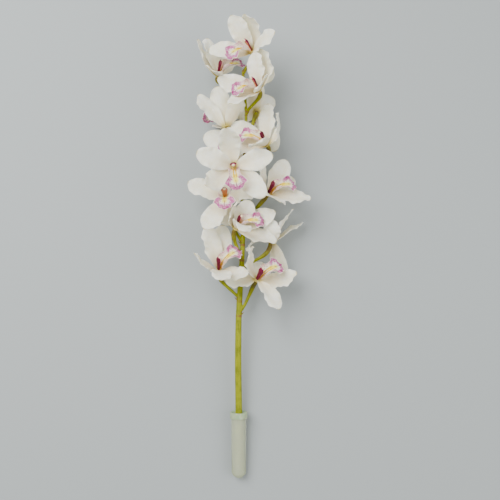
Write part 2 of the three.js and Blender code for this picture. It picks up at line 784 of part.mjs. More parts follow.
const spray = new THREE.Group();
spray.add(named("flower_stem", stemGeometry(), MATERIALS.stem));
FLOWERS.forEach((flower, index) => {
  const number = String(index + 1).padStart(2, "0");
  const group = new THREE.Group();
  const place = placeOf(flower);
  place.decompose(group.position, group.quaternion, group.scale);
  group.add(
    named("sepals_" + number, sepalsGeometry(flower, place), MATERIALS.sepals),
    named("petals_" + number, petalsGeometry(flower, place), MATERIALS.petals),
    named("lip_" + number, lipGeometry(), MATERIALS.lip),
    named("column_" + number, columnGeometry(), MATERIALS.column),
  );
  spray.add(group);
});
spray.add(named("water_tube", tubeSolid(), MATERIALS.tube));
spray.add(named("tube_cap", capGeometry(), MATERIALS.cap));

const rest = restOf(spray);
spray.add(named("water", waterGeometry(rest), MATERIALS.water));
rest.decompose(spray.position, spray.quaternion, spray.scale);

const orchid = new THREE.Group();
orchid.add(spray);
export default orchid;
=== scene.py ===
"""The looks of a cut cymbidium orchid spray that lies on a surface with its stem in a water tube.

Sizes are in millimetres in the spray's own frame: the stem runs along +Y from the tube to the tip,
and most of the flowers turn towards +Z. spray_place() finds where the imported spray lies, and every
piece is put there.
"""
import math

import bmesh
import bpy
import numpy as np
from bpy.props import FloatProperty, FloatVectorProperty, IntProperty, PointerProperty
from mathutils import Matrix, Vector
from mathutils.kdtree import KDTree


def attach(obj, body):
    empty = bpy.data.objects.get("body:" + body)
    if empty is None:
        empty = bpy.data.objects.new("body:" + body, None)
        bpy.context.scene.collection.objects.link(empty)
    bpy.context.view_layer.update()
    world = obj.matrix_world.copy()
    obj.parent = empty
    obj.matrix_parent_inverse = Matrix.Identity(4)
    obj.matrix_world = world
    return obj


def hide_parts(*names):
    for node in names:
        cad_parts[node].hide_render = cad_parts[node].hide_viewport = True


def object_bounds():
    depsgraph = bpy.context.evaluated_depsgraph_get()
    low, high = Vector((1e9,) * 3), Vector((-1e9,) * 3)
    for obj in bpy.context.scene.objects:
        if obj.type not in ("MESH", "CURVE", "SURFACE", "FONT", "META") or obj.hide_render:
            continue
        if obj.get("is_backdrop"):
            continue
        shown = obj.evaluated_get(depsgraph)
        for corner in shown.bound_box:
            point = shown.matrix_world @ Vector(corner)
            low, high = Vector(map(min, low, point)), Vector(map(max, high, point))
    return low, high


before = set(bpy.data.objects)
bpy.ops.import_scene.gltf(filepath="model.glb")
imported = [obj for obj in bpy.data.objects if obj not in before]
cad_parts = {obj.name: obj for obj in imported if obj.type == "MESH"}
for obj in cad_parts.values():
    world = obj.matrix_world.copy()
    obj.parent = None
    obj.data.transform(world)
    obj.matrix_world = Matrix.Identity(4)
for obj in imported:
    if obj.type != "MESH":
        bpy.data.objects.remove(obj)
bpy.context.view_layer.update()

bl_info = {
    "name": "Cut orchid spray",
    "version": (1, 0, 0),
    "blender": (4, 5, 0),
    "location": "3D view > Sidebar > Orchid",
    "description": "Builds the flowers, stalk, water tube and stage of a cut cymbidium orchid spray",
    "category": "Object",
}

BODY = "root"
MM = 0.001
UV_SCALE = 100.0  # millimetres of flower tissue in one unit of its UV map

# ---- the spray's design --------------------------------------------------------------------

GAP = 0.3  # clearance between neighbouring pieces

TUBE_LENGTH = 106.0
TUBE_MOUTH_RADIUS = 12.5
TUBE_END_RADIUS = 11.6
TUBE_WALL = 1.2
CAP_WALL = 1.5
CAP_SKIRT = 8.2
CAP_TOP = 1.6
CAP_DISH = 3.2
WATER_LEVEL = 15.0
WATER_GAP = 0.5

STEM_AXIS = (
    (0, 17, 0),
    (0, 60, 0),
    (0, 106, 0),
    (-1, 196, 0),
    (0, 265, 0),
    (3, 323, 0),
    (6, 374, 0),
    (8, 430, 0),
    (9, 490, 0),
    (10, 540, 0),
    (12, 592, 0),
    (10, 630, 1),
    (7, 664, 3),
)
STEM_RADII = (5.7, 5.7, 5.6, 5.5, 5.3, 4.9, 4.4, 3.9, 3.5, 3.1, 2.7, 2.4, 2.2)
CUT_SLANT = 38.0
# radius of a flower's own stalk along it: its foot, its thin part, the ovary, the neck behind the flower
PEDICEL_RADII = ((0, 3.0), (0.12, 2.55), (0.45, 2.75), (0.72, 3.85), (0.9, 3.8), (1, 3.3))
BRACT = {"length": 10.0, "width": 7.0, "thickness": 1.1, "below": 3.8}

SEPAL = {"length": 66.0, "width": 35.0, "shoulder": 0.7, "point": 0.56}
PETAL = {"length": 63.0, "width": 32.0, "shoulder": 0.78, "point": 0.56}
TEPAL_BASE = 0.035
SEPAL_HUB = {"radius": 5.6, "root": 4.8, "low": 0.0, "high": 1.8}
PETAL_HUB = {"radius": 4.2, "root": 3.4, "low": 2.1, "high": 3.9}
PETAL_ANGLE = 66.0
LATERAL_ANGLE = 128.0

LIP_LENGTH = 51.0
LIP_START = (0, -3.2, 4.2)
LIP_RISE = 80.0
LIP_BEND = {"arch": 22, "tip": 88}
# half width of the lip along its length: side lobes, waist, broad front lobe, point
LIP_HALF_WIDTH = ((0, 3.5), (0.18, 9), (0.36, 16), (0.52, 11.5), (0.72, 18), (0.88, 11), (1, 0))
LIP_CURL = ((0, 30), (0.2, 80), (0.4, 98), (0.56, 55), (0.72, 18), (1, -12))

COLUMN_LENGTH = 25.0
COLUMN_START = (0, 1.1, 4.2)
COLUMN_BEND = {"arch": 20, "tip": -22}
COLUMN_HALF_WIDTH = ((0, 2.9), (0.45, 4.1), (0.82, 5.3), (1, 3.2))
COLUMN_HALF_THICKNESS = ((0, 2.3), (0.5, 2.9), (0.82, 3.6), (1, 2.4))
PACKED_COLUMN = {"rows": 5, "sides": 6}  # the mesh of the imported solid, which tells where a flower is

# Usual bends of the tepals, in degrees: arch and tip bend them backwards over their lower and upper
# part, cup curls their edges forwards.
DORSAL_HABIT = {"rise": 28, "arch": -14, "tip": -8, "cup": 32, "cup_tip": 20}
PETAL_HABIT = {"rise": 34, "arch": -4, "tip": 14, "cup": 32, "cup_tip": 16}
LATERAL_HABIT = {"rise": 24, "arch": -6, "tip": 10, "cup": 28, "cup_tip": 16}

# The flowers, from the lowest to the tip. at is the middle of the flower's back, faces the way it looks,
# crown the way its upper sepal stands, node how far up the stalk its branch leaves. A tepal's aim is
# the way from its root to its tip.
FLOWERS = [
    {
        "node": 269,
        "at": (29, 324, 14),
        "faces": (0.42, 0.68, 0.6),
        "crown": (-0.75, -0.05, 0.6),
        "dorsal": {"aim": (-0.75, 0, 0.25), "stretch": 0.75},
        "left": {"aim": (0.95, 0.2, 0.05), "arch": -45, "tip": -20},
        "right": {"aim": (0.2, 0.45, -0.8), "stretch": 0.75},
        "left_petal": {"aim": (0.54, -0.73, 0.54), "arch": 8},
        "right_petal": {"aim": (-0.1, 0.75, 0.45), "arch": -40, "tip": -20},
    },
    {
        "node": 293,
        "at": (-32, 340, 20),
        "faces": (0.15, 0.75, 0.62),
        "crown": (-0.85, -0.25, 0.45),
        "dorsal": {"aim": (-0.45, 0.4, 0.75), "arch": -20, "tip": -10},
        "left": {"aim": (0.75, -0.1, 0.42), "stretch": 0.75},
        "right": {"aim": (0.08, 0.98, -0.15), "stretch": 1.08},
        "left_petal": {"aim": (0.1, -0.2, 0.9), "arch": 5, "tip": 30},
        "right_petal": {"aim": (-0.25, 0.96, 0.05), "stretch": 1.12},
    },
    {
        "node": 340,
        "at": (52, 385, -3),
        "faces": (0.05, 0.98, -0.05),
        "crown": (0, 0.1, 1),
        "dorsal": {"aim": (0.05, 0.75, 0.35), "arch": -60, "tip": -40, "stretch": 0.7, "breadth": 0.8},
        "left": {"aim": (0.75, 0.5, -0.35)},
        "right": {"aim": (0.25, -0.9, -0.25)},
        "left_petal": {"aim": (0.55, 0.82, 0)},
        "right_petal": {"aim": (-0.7, -0.35, 0.14), "arch": 30, "tip": 60, "stretch": 0.7},
    },
    {
        "node": 360,
        "at": (-5, 408, 22),
        "faces": (0.42, 0.62, 0.65),
        "crown": (-0.85, 0.3, 0.3),
        "dorsal": {"aim": (0.15, 0.74, 0.62), "arch": -45, "tip": -20, "stretch": 0.85},
        "left": {"aim": (0.93, -0.3, 0.2)},
        "right": {"aim": (0.88, 0.38, -0.05)},
        "left_petal": {"aim": (0.15, -0.1, 0.9), "arch": 20, "tip": 50},
        "right_petal": {"aim": (0.46, 0.84, 0.06), "stretch": 0.74},
    },
    {
        "node": 385,
        "at": (-21, 455, 14),
        "faces": (-0.05, 0.45, 0.88),
        "crown": (-0.05, 0.88, -0.45),
        "dorsal": {"aim": (-0.15, 0.95, -0.2)},
        "left": {"aim": (-0.4, -0.62, 0.5)},
        "right": {"aim": (0.1, -0.8, -0.2), "stretch": 0.6},
        "left_petal": {"aim": (-0.8, 0.35, 0.1)},
        "right_petal": {"aim": (0.75, 0.24, 0.05), "stretch": 0.88},
    },
    {
        "node": 419,
        "at": (47, 463, 12),
        "faces": (0.48, 0.66, 0.58),
        "crown": (-0.75, 0.2, 0.5),
        "dorsal": {"aim": (0.05, 0.83, 0.5), "arch": -45, "tip": -20},
        "left": {"aim": (0.97, -0.08, 0.1)},
        "right": {"aim": (0.6, 0.45, -0.6)},
        "left_petal": {"aim": (0.25, -0.25, 0.9)},
        "right_petal": {"aim": (0.45, 0.83, -0.2)},
    },
    {
        "node": 446,
        "at": (-7, 506, 36),
        "faces": (0, -0.12, 0.99),
        "crown": (-0.16, 0.98, 0.1),
        "dorsal": {"aim": (-0.15, 0.72, 0.55), "arch": -50, "tip": -10},
        "left": {"aim": (-0.6, -0.5, 0.6), "arch": -30, "tip": -30, "breadth": 0.9},
        "right": {"aim": (0.7, -0.68, 0.2)},
        "left_petal": {"aim": (-0.88, 0.3, 0.4), "arch": 12},
        "right_petal": {"aim": (0.93, 0.25, 0.3)},
    },
    {
        "node": 500,
        "at": (6, 550, -28),
        "faces": (-0.4, 0.2, 0.9),
        "crown": (0.6, 0.75, 0.1),
        "dorsal": {"aim": (0.35, 0.85, -0.4), "stretch": 0.65},
        "left": {"aim": (-0.85, 0.2, -0.2)},
        "right": {"aim": (-0.45, -0.85, -0.1)},
        "left_petal": {"aim": (-0.4, 0.65, 0), "stretch": 0.6},
        "right_petal": {"aim": (0.75, 0.05, 0.3), "stretch": 0.6},
    },
    {
        "node": 494,
        "at": (46, 543, 16),
        "faces": (-0.5, 0.58, 0.62),
        "crown": (0.7, 0.2, 0.5),
        "dorsal": {"aim": (0.15, 0.6, 0.72), "arch": -45, "tip": -25},
        "left": {"aim": (-0.82, 0.52, -0.16)},
        "right": {"aim": (-0.9, -0.15, 0.2)},
        "left_petal": {"aim": (0.03, 0.9, -0.04)},
        "right_petal": {"aim": (-0.3, -0.1, 0.93)},
    },
    {
        "node": 535,
        "at": (-20, 573, 8),
        "faces": (-0.25, 0.9, -0.4),
        "crown": (0.8, 0.35, 0.35),
        "dorsal": {"aim": (0.33, 0.85, 0.13), "stretch": 0.95},
        "left": {"aim": (-0.2, 0.3, -0.85), "stretch": 0.85},
        "right": {"aim": (-0.62, 0.74, 0.05), "breadth": 0.8},
        "left_petal": {"aim": (0.05, 0.62, -0.7), "stretch": 0.8},
        "right_petal": {"aim": (-0.22, 0.93, 0.2)},
    },
    {
        "node": 556,
        "at": (30, 600, -6),
        "faces": (0.2, 0.3, -0.93),
        "crown": (0, 0.95, 0.3),
        "dorsal": {"aim": (-0.1, 0.95, -0.15), "stretch": 0.85},
        "left": {"aim": (0.42, -0.86, -0.1)},
        "right": {"aim": (-0.75, 0.1, -0.45), "stretch": 0.6},
        "left_petal": {"aim": (0.4, 0.55, -0.6), "stretch": 0.8},
        "right_petal": {"aim": (-0.35, 0.6, -0.55), "stretch": 0.8},
    },
    {
        "node": 598,
        "at": (33, 630, 20),
        "faces": (-0.5, 0.45, 0.72),
        "crown": (0.65, 0.65, 0.1),
        "dorsal": {"aim": (0, 0.9, 0.35), "arch": -50, "tip": -30},
        "left": {"aim": (-0.96, 0.27, 0.12)},
        "right": {"aim": (-0.6, -0.35, 0.6)},
        "left_petal": {"aim": (-0.12, 0.9, 0.3), "stretch": 0.9},
        "right_petal": {"aim": (0.1, 0.05, 0.98)},
    },
    {
        "node": 636,
        "at": (-35, 660, -10),
        "faces": (0.35, 0.72, 0.55),
        "crown": (-0.8, 0.2, 0.35),
        "dorsal": {"aim": (-0.38, 0.7, 0.45), "arch": -30},
        "left": {"aim": (0.35, -0.3, -0.7), "stretch": 0.75},
        "right": {"aim": (0.35, 0.75, -0.55)},
        "left_petal": {"aim": (-0.15, -0.05, 0.9), "stretch": 0.85},
        "right_petal": {"aim": (-0.25, 0.9, -0.05)},
    },
    {
        "node": 664,
        "at": (22, 694, 14),
        "faces": (-0.5, 0.35, 0.78),
        "crown": (0.6, 0.75, 0.1),
        "dorsal": {"aim": (-0.2, 0.68, 0.58), "arch": -50, "tip": -30},
        "left": {"aim": (-0.97, 0.05, 0.05)},
        "right": {"aim": (0.5, -0.65, -0.45), "stretch": 0.85},
        "left_petal": {"aim": (-0.48, 0.72, 0.42)},
        "right_petal": {"aim": (0.5, 0.2, 0.8)},
    },
]

# where the five tepals of a flower start, and which are made together
TEPALS = {
    "sepals": (
        ("dorsal", SEPAL, SEPAL_HUB, DORSAL_HABIT, 0.0),
        ("left", SEPAL, SEPAL_HUB, LATERAL_HABIT, -LATERAL_ANGLE),
        ("right", SEPAL, SEPAL_HUB, LATERAL_HABIT, LATERAL_ANGLE),
    ),
    "petals": (
        ("left_petal", PETAL, PETAL_HUB, PETAL_HABIT, -PETAL_ANGLE),
        ("right_petal", PETAL, PETAL_HUB, PETAL_HABIT, PETAL_ANGLE),
    ),
}

# ---- lines and grids -----------------------------------------------------------------------


def unit(vector):
    vector = np.asarray(vector, float)
    return vector / np.linalg.norm(vector)


def smoothstep(low, high, value):
    share = np.clip((np.asarray(value, float) - low) / (high - low), 0, 1)
    return share * share * (3 - 2 * share)


def along(stations, u):
    """The value at u of a list of (station, value), eased from each station to the next."""
    places, values = (np.array(column, float) for column in zip(*stations))
    u = np.asarray(u, float)
    after = np.clip(np.searchsorted(places, u, side="left"), 1, len(places) - 1)
    share = smoothstep(places[after - 1], places[after], u)
    return values[after - 1] + (values[after] - values[after - 1]) * share


def turned(vector, axis, angle):
    """A vector turned about a unit axis."""
    cosine, sine = math.cos(angle), math.sin(angle)
    return vector * cosine + np.cross(axis, vector) * sine + axis * (vector @ axis) * (1 - cosine)


def walk(start, length, arch=0.0, tip=0.0, rows=60):
    """Frames down a strip: at, the strip's face and its way across, each one row of an array."""
    at, along_it, face = (np.array(vector, float) for vector in start)
    across = np.cross(along_it, face)
    frames = {"at": [at], "along": [along_it], "face": [face]}
    for row in range(rows):
        u = (row + 0.5) / rows
        bend = -math.radians(2 * (arch * (1 - u) + tip * u) / rows)
        at = at + along_it * length / rows / 2
        along_it, face = turned(along_it, across, bend), turned(face, across, bend)
        at = at + along_it * length / rows / 2
        for name, vector in zip(frames, (at, along_it, face)):
            frames[name].append(vector)
    frames = {name: np.array(vectors) for name, vectors in frames.items()}
    frames["across"] = np.tile(across, (rows + 1, 1))
    return frames


def resampled(rows, us):
    """Rows that are evenly spaced from 0 to 1, read at other places."""
    evenly = np.linspace(0, 1, len(rows))
    return np.stack([np.interp(us, evenly, rows[:, axis]) for axis in range(3)], axis=1)


def tapering(rows):
    """Places from 0 to 1 that draw together towards 1, where an outline rounds off."""
    return 1 - (1 - np.linspace(0, 1, rows + 1)) ** 1.5


def curled_grid(frames, us, vs, half_width, curl):
    """Points and normals of a strip whose cross-section is an arc of the given half angle."""
    at, face, across = (resampled(frames[name], us)[:, None] for name in ("at", "face", "across"))
    curl = np.radians(curl)
    curl = np.where(np.abs(curl) < 1e-4, 1e-4, curl)[:, None]
    radius = half_width / curl
    turn = (curl * vs)[..., None]
    radius = radius[..., None]
    points = at + across * radius * np.sin(turn) + face * radius * (1 - np.cos(turn))
    normals = face * np.cos(turn) - across * np.sin(turn)
    return points, normals


# ---- meshes --------------------------------------------------------------------------------


def part_of(points, faces, uv=None, finish=0, **attributes):
    """A piece of mesh: its points, faces, UVs, one material number and float attributes per point."""
    points = np.asarray(points, float)
    uv = np.zeros((len(points), 2)) if uv is None else np.asarray(uv, float)
    return {
        "points": points,
        "faces": [tuple(int(corner) for corner in face) for face in faces],
        "uv": uv,
        "finishes": [finish] * len(faces),
        "attributes": {name: np.asarray(values, float) for name, values in attributes.items()},
    }


def joined(parts):
    names = sorted({name for part in parts for name in part["attributes"]})
    faces, finishes, first = [], [], 0
    for part in parts:
        faces += [tuple(corner + first for corner in face) for face in part["faces"]]
        finishes += part["finishes"]
        first += len(part["points"])
    return {
        "points": np.concatenate([part["points"] for part in parts]),
        "faces": faces,
        "uv": np.concatenate([part["uv"] for part in parts]),
        "finishes": finishes,
        "attributes": {
            name: np.concatenate(
                [part["attributes"].get(name, np.zeros(len(part["points"]))) for part in parts]
            )
            for name in names
        },
    }


def moved(part, place):
    """The part carried by a 4 by 4 matrix."""
    return {**part, "points": part["points"] @ place[:3, :3].T + place[:3, 3]}


def shell(front, back, uv, **attributes):
    """A closed solid between two grids that meet at their edges, the last row drawn into one point."""
    rows, columns = front.shape[0] - 1, front.shape[1] - 1
    front_index = np.arange(rows * (columns + 1)).reshape(rows, columns + 1)
    back_index = front_index.copy()
    inner = (rows - 1) * (columns - 1)
    back_index[1:, 1:-1] = front_index.size + np.arange(inner).reshape(rows - 1, columns - 1)
    tip = front_index.size + inner

    def flattened(grid, other=None):
        other = grid if other is None else other
        parts = [grid[:rows].reshape(-1, *grid.shape[2:])]
        parts.append(other[1:rows, 1:-1].reshape(-1, *grid.shape[2:]))
        parts.append(grid[rows, columns // 2][None])
        return np.concatenate(parts)

    faces = []
    for low, high, turn in ((front_index[:-1], front_index[1:], 1), (back_index[:-1], back_index[1:], -1)):
        quads = np.stack([low[:, :-1], low[:, 1:], high[:, 1:], high[:, :-1]], axis=-1).reshape(-1, 4)
        faces += quads[:, ::turn].tolist()
    for column in range(columns):
        faces.append((front_index[-1, column], front_index[-1, column + 1], tip))
        faces.append((back_index[-1, column + 1], back_index[-1, column], tip))
    attributes = {name: flattened(values) for name, values in attributes.items()}
    return part_of(flattened(front, back), faces, flattened(uv), **attributes)


def tube_on(points_of_ring, rows, sides):
    """A closed tube through rows of rings, each given by points_of_ring(row)."""
    rings = [points_of_ring(row) for row in range(rows + 1)]
    points = np.concatenate(rings + [rings[0].mean(0)[None], rings[-1].mean(0)[None]])
    bottom, top = (rows + 1) * sides, (rows + 1) * sides + 1
    faces = []
    for side in range(sides):
        after = (side + 1) % sides
        for row in range(rows):
            low, high = row * sides, (row + 1) * sides
            faces.append((low + side, high + side, high + after, low + after))
        faces.append((bottom, side, after))
        faces.append((top, rows * sides + after, rows * sides + side))
    return points, faces


def ball(centre, axes, radii, sides=16, rings=10, finish=0):
    """A closed ball with its own radius along each of three axes."""
    turns = np.linspace(0, 2 * math.pi, sides, endpoint=False)
    axes = np.array(axes)

    def ring(row):
        lean = math.pi * (row + 0.5) / (rings + 1)
        local = np.stack(
            [
                radii[0] * math.sin(lean) * np.cos(turns),
                radii[1] * math.sin(lean) * np.sin(turns),
                np.full(sides, -radii[2] * math.cos(lean)),
            ],
            axis=1,
        )
        return centre + local @ axes

    points, faces = tube_on(ring, rings, sides)
    return part_of(points, faces, finish=finish)


def lathe(profile, sides):
    """A closed solid turned about the Y axis from (radius, y) points that end on the axis or meet."""
    profile = np.array(profile, float)
    meets = np.allclose(profile[0], profile[-1])
    profile = profile[:-1] if meets else profile
    turns = np.linspace(0, 2 * math.pi, sides, endpoint=False)
    points, rings = [], []
    for radius, y in profile:
        count = sides if radius > 1e-6 else 1
        around = turns[:count]
        ring = np.stack([radius * np.sin(around), np.full(count, y), radius * np.cos(around)], axis=1)
        rings.append(sum(map(len, points)) + np.arange(sides) % count)
        points.append(ring)
    faces = []
    for low, high in zip(rings, rings[1:] + rings[:1] if meets else rings[1:]):
        for side in range(sides):
            after = (side + 1) % sides
            corners = (low[side], low[after], high[after], high[side])
            faces.append(tuple(dict.fromkeys(corners)))
    return part_of(np.concatenate(points), faces)


def rounded(profile, times):
    """A line of points with its corners cut off again and again, its two ends kept."""
    profile = np.array(profile, float)
    for _ in range(times):
        low, high = profile[:-1], profile[1:]
        cut = np.stack([low * 0.8 + high * 0.2, low * 0.2 + high * 0.8], axis=1).reshape(-1, 2)
        profile = np.concatenate([profile[:1], cut[1:-1], profile[-1:]])
    return profile


def resting(heights):
    """Heights above the surface: what would sink into it is pressed up onto it, softly."""
    give = 0.6 * MM
    sunk = heights < 8 * MM
    heights = heights.copy()
    heights[sunk] = give * np.logaddexp(0, heights[sunk] / give)
    return heights


def piece(name, part, materials, slot, *nodes):
    """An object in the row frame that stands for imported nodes, from a part in the spray's frame."""
    mesh = bpy.data.meshes.new(name)
    points = part["points"] * MM @ SPRAY[:3, :3].T + SPRAY[:3, 3]
    points[:, 2] = resting(points[:, 2])
    mesh.from_pydata(points.tolist(), [], part["faces"])
    uv_map = mesh.uv_layers.new(name="tissue")
    corners = np.zeros(len(mesh.loops), np.int32)
    mesh.loops.foreach_get("vertex_index", corners)
    uv_map.data.foreach_set("uv", part["uv"][corners].astype(np.float32).ravel())
    for attribute, values in part["attributes"].items():
        layer = mesh.attributes.new(attribute, "FLOAT", "POINT")
        layer.data.foreach_set("value", values.astype(np.float32))
    mesh.polygons.foreach_set("material_index", np.array(part["finishes"], np.int32))
    return finished(name, mesh, materials, nodes)


def finished(name, mesh, materials, nodes, sharp=55.0):
    for material in materials:
        mesh.materials.append(material)
    mesh.shade_smooth()
    mesh.set_sharp_from_angle(angle=math.radians(sharp))
    mesh.update()
    made = bpy.data.objects.new(name, mesh)
    bpy.context.scene.collection.objects.link(made)
    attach(made, BODY)
    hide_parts(*nodes)
    return made


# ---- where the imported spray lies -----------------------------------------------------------


def flower_place(flower):
    """The flower's own frame in the spray: it looks along +Z and its crown is +Y."""
    face = unit(flower["faces"])
    right = unit(np.cross(flower["crown"], face))
    place = np.eye(4)
    place[:3, :3] = np.stack([right, np.cross(face, right), face], axis=1)
    place[:3, 3] = flower["at"]
    return place


def area_centre(points, triangles):
    corners = points[triangles]
    areas = np.linalg.norm(np.cross(corners[:, 1] - corners[:, 0], corners[:, 2] - corners[:, 0]), axis=1)
    return (corners.mean(1) * areas[:, None]).sum(0) / areas.sum()


def column_rings(rows, sides, shape=None):
    """Points and faces of a flower's column in the flower's frame. shape changes a ring's two radii."""
    start = (COLUMN_START, (0, 0, 1), (0, -1, 0))
    frames = walk(start, COLUMN_LENGTH, rows=rows, **COLUMN_BEND)
    turns = np.linspace(0, 2 * math.pi, sides, endpoint=False)

    def ring(row):
        u = row / rows
        wide = along(COLUMN_HALF_WIDTH, u) * np.cos(turns)
        thick = along(COLUMN_HALF_THICKNESS, u) * np.sin(turns)
        if shape:
            wide, thick = shape(u, turns, wide, thick)
        across, face = frames["across"][row], frames["face"][row]
        return frames["at"][row] + wide[:, None] * across + thick[:, None] * face

    return *tube_on(ring, rows, sides), frames


def spray_place():
    """The matrix from the spray's frame to the row frame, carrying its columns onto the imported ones."""
    points, faces, _ = column_rings(**PACKED_COLUMN)
    triangles = []
    for face in faces:
        triangles += [(face[0], face[i], face[i + 1]) for i in range(1, len(face) - 1)]
    middle = area_centre(points, np.array(triangles))
    designed, packed = [], []
    for number, flower in enumerate(FLOWERS, 1):
        designed.append((flower_place(flower) @ np.append(middle, 1))[:3] * MM)
        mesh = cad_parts[f"column_{number:02d}"].data
        mesh.calc_loop_triangles()
        corners = np.array([vertex.co for vertex in mesh.vertices])
        packed.append(area_centre(corners, np.array([t.vertices for t in mesh.loop_triangles])))
    designed, packed = np.array(designed), np.array(packed)
    centre, target = designed.mean(0), packed.mean(0)
    u, _, v = np.linalg.svd((designed - centre).T @ (packed - target))
    place = np.eye(4)
    place[:3, :3] = v.T @ np.diag([1, 1, np.sign(np.linalg.det(v.T @ u.T))]) @ u.T
    place[:3, 3] = target - place[:3, :3] @ centre
    worst = np.abs(designed @ place[:3, :3].T + place[:3, 3] - packed).max()
    if worst > 0.5 * MM:
        raise RuntimeError(f"the packed flowers are up to {worst / MM:.1f} mm away from the design")
    return place


SPRAY = spray_place()

# ---- the flower's pieces -------------------------------------------------------------------

# unevenness of the tepals and the lip: heights and widths in millimetres or as a share, waves in a length;
# a taper is the thickness at the root and at the tip as shares of the thickness setting
OUTLINE_WOBBLE = 0.03
OUTLINE_WAVES = 1.7
TEPAL_SWELL = 0.7
TEPAL_TAPER = (1.5, 0.8)
LIP_TEETH = 7.3
LIP_TOOTH = 0.035
LIP_TAPER = (1.3, 0.8)
SIDE_LOBE_WAVES = 1.6
SIDE_LOBE_WAVE = 0.5
CREST_APART = 2.3
CREST_WIDTH = 1.0


def tepal_outline(kind, us):
    """Half width of a tepal: narrow at its root, widest past the middle, rounded to a point."""
    widest = (kind["shoulder"] - kind["point"] * TEPAL_BASE) / (kind["shoulder"] + kind["point"])

    def outline(x):
        return (x + TEPAL_BASE) ** kind["shoulder"] * (1 - x) ** kind["point"]

    return kind["width"] / 2 * outline(us) / outline(widest)


def half_thickness(thickness, taper, u, v):
    """Half the thickness of a blade that runs out to nothing at its root, tip and edges."""
    root, tip = taper
    half = thickness / MM / 2 * np.sqrt(1 - v**6) * (root - (root - tip) * u)
    half[[0, -1]] = 0
    half[:, [0, -1]] = 0
    return half


def tepal(kind, hub, habit, angle, place, sizes, seed):
    """One waxy, softly ruffled sepal or petal in the flower's frame."""
    dice = np.random.RandomState(seed)
    arch, tip = habit["arch"], habit["tip"]
    if "aim" in habit:
        x, y, z = unit(place[:3, :3].T @ np.array(habit["aim"], float))
        angle, rise = math.atan2(x, y), math.atan2(z, math.hypot(x, y)) + math.radians((2 * arch + tip) / 3)
    else:
        angle, rise = math.radians(angle), math.radians(habit["rise"])
    outwards, forwards = np.array([math.sin(angle), math.cos(angle), 0]), np.array([0, 0, 1.0])
    start = (
        outwards * hub["root"] + forwards * (hub["low"] + hub["high"]) / 2,
        outwards * math.cos(rise) + forwards * math.sin(rise),
        forwards * math.cos(rise) - outwards * math.sin(rise),
    )
    length = kind["length"] * habit.get("stretch", 1)
    us, vs = tapering(sizes.rows), np.sin(np.linspace(-1, 1, sizes.columns + 1) * math.pi / 2)
    u, v = us[:, None], vs[None]
    side = (v > 0).astype(int)
    phases, pace = dice.uniform(0, 2 * math.pi, (3, 2)), dice.uniform(1.5, 2.4, 2)
    uneven = 1 + OUTLINE_WOBBLE * np.sin(2 * math.pi * OUTLINE_WAVES * u + phases[0][side])
    half_width = tepal_outline(kind, u) * habit.get("breadth", 1) * uneven
    cup = habit["cup"] + (habit["cup_tip"] - habit["cup"]) * us
    frames = walk(start, length, arch, tip)
    points, normals = curled_grid(frames, us, vs, half_width, cup)
    free = smoothstep(0.12, 0.5, u) * (1 - 0.5 * smoothstep(0.88, 1, u))  # the edge away from the root
    wave = np.sin(2 * math.pi * pace[side] * u + phases[1][side])
    wave = wave + 0.45 * np.sin(2 * math.pi * 2.6 * pace[side] * u + phases[2][side])
    lift = sizes.ruffle / MM * free * np.abs(v) ** 2.4 * wave
    lift = lift - sizes.rolled_edge / MM * free * np.abs(v) ** 6 * dice.uniform(0.1, 1, 2)[side]
    lift = lift - sizes.midrib / MM * np.exp(-((v / 0.1) ** 2)) * (1 - u) ** 0.5 * smoothstep(0, 0.08, u)
    swell = np.sin(2 * math.pi * (0.8 * u + dice.uniform())) * smoothstep(0.1, 0.6, u)
    lift = lift + TEPAL_SWELL * swell
    points = points + normals * lift[..., None]
    half = half_thickness(sizes.thickness, TEPAL_TAPER, u, v)
    offset = normals * half[..., None]
    uv = np.stack([half_width * v + 37 * dice.uniform(), np.broadcast_to(u * length, half_width.shape)], -1)
    reach, across = np.broadcast_to(u, half_width.shape), np.broadcast_to(np.abs(v), half_width.shape)
    return shell(points + offset, points - offset, uv / UV_SCALE, reach=reach, across=across)


def receptacle(hub):
    """The small cup that a flower's tepals grow out of."""
    low, high, radius = hub["low"], hub["high"], hub["radius"]
    middle = (low + high) / 2
    profile = [(0, low), (radius * 0.8, low), (radius, middle), (radius * 0.8, high), (0, high)]
    part = lathe(rounded(profile, 3), 28)
    turn = np.eye(4)
    turn[:3, :3] = [[1, 0, 0], [0, 0, -1], [0, 1, 0]]
    return moved(part, turn)


def tepals_of(flower, number, group, sizes):
    place = flower_place(flower)
    hub = TEPALS[group][0][2]
    parts = [receptacle(hub)]
    for order, (name, kind, hub, usual, angle) in enumerate(TEPALS[group]):
        habit = {**usual, **flower.get(name, {})}
        seed = 100 * number + 10 * len(group) + order
        parts.append(tepal(kind, hub, habit, angle, place, sizes, seed))
    return moved(joined(parts), place)


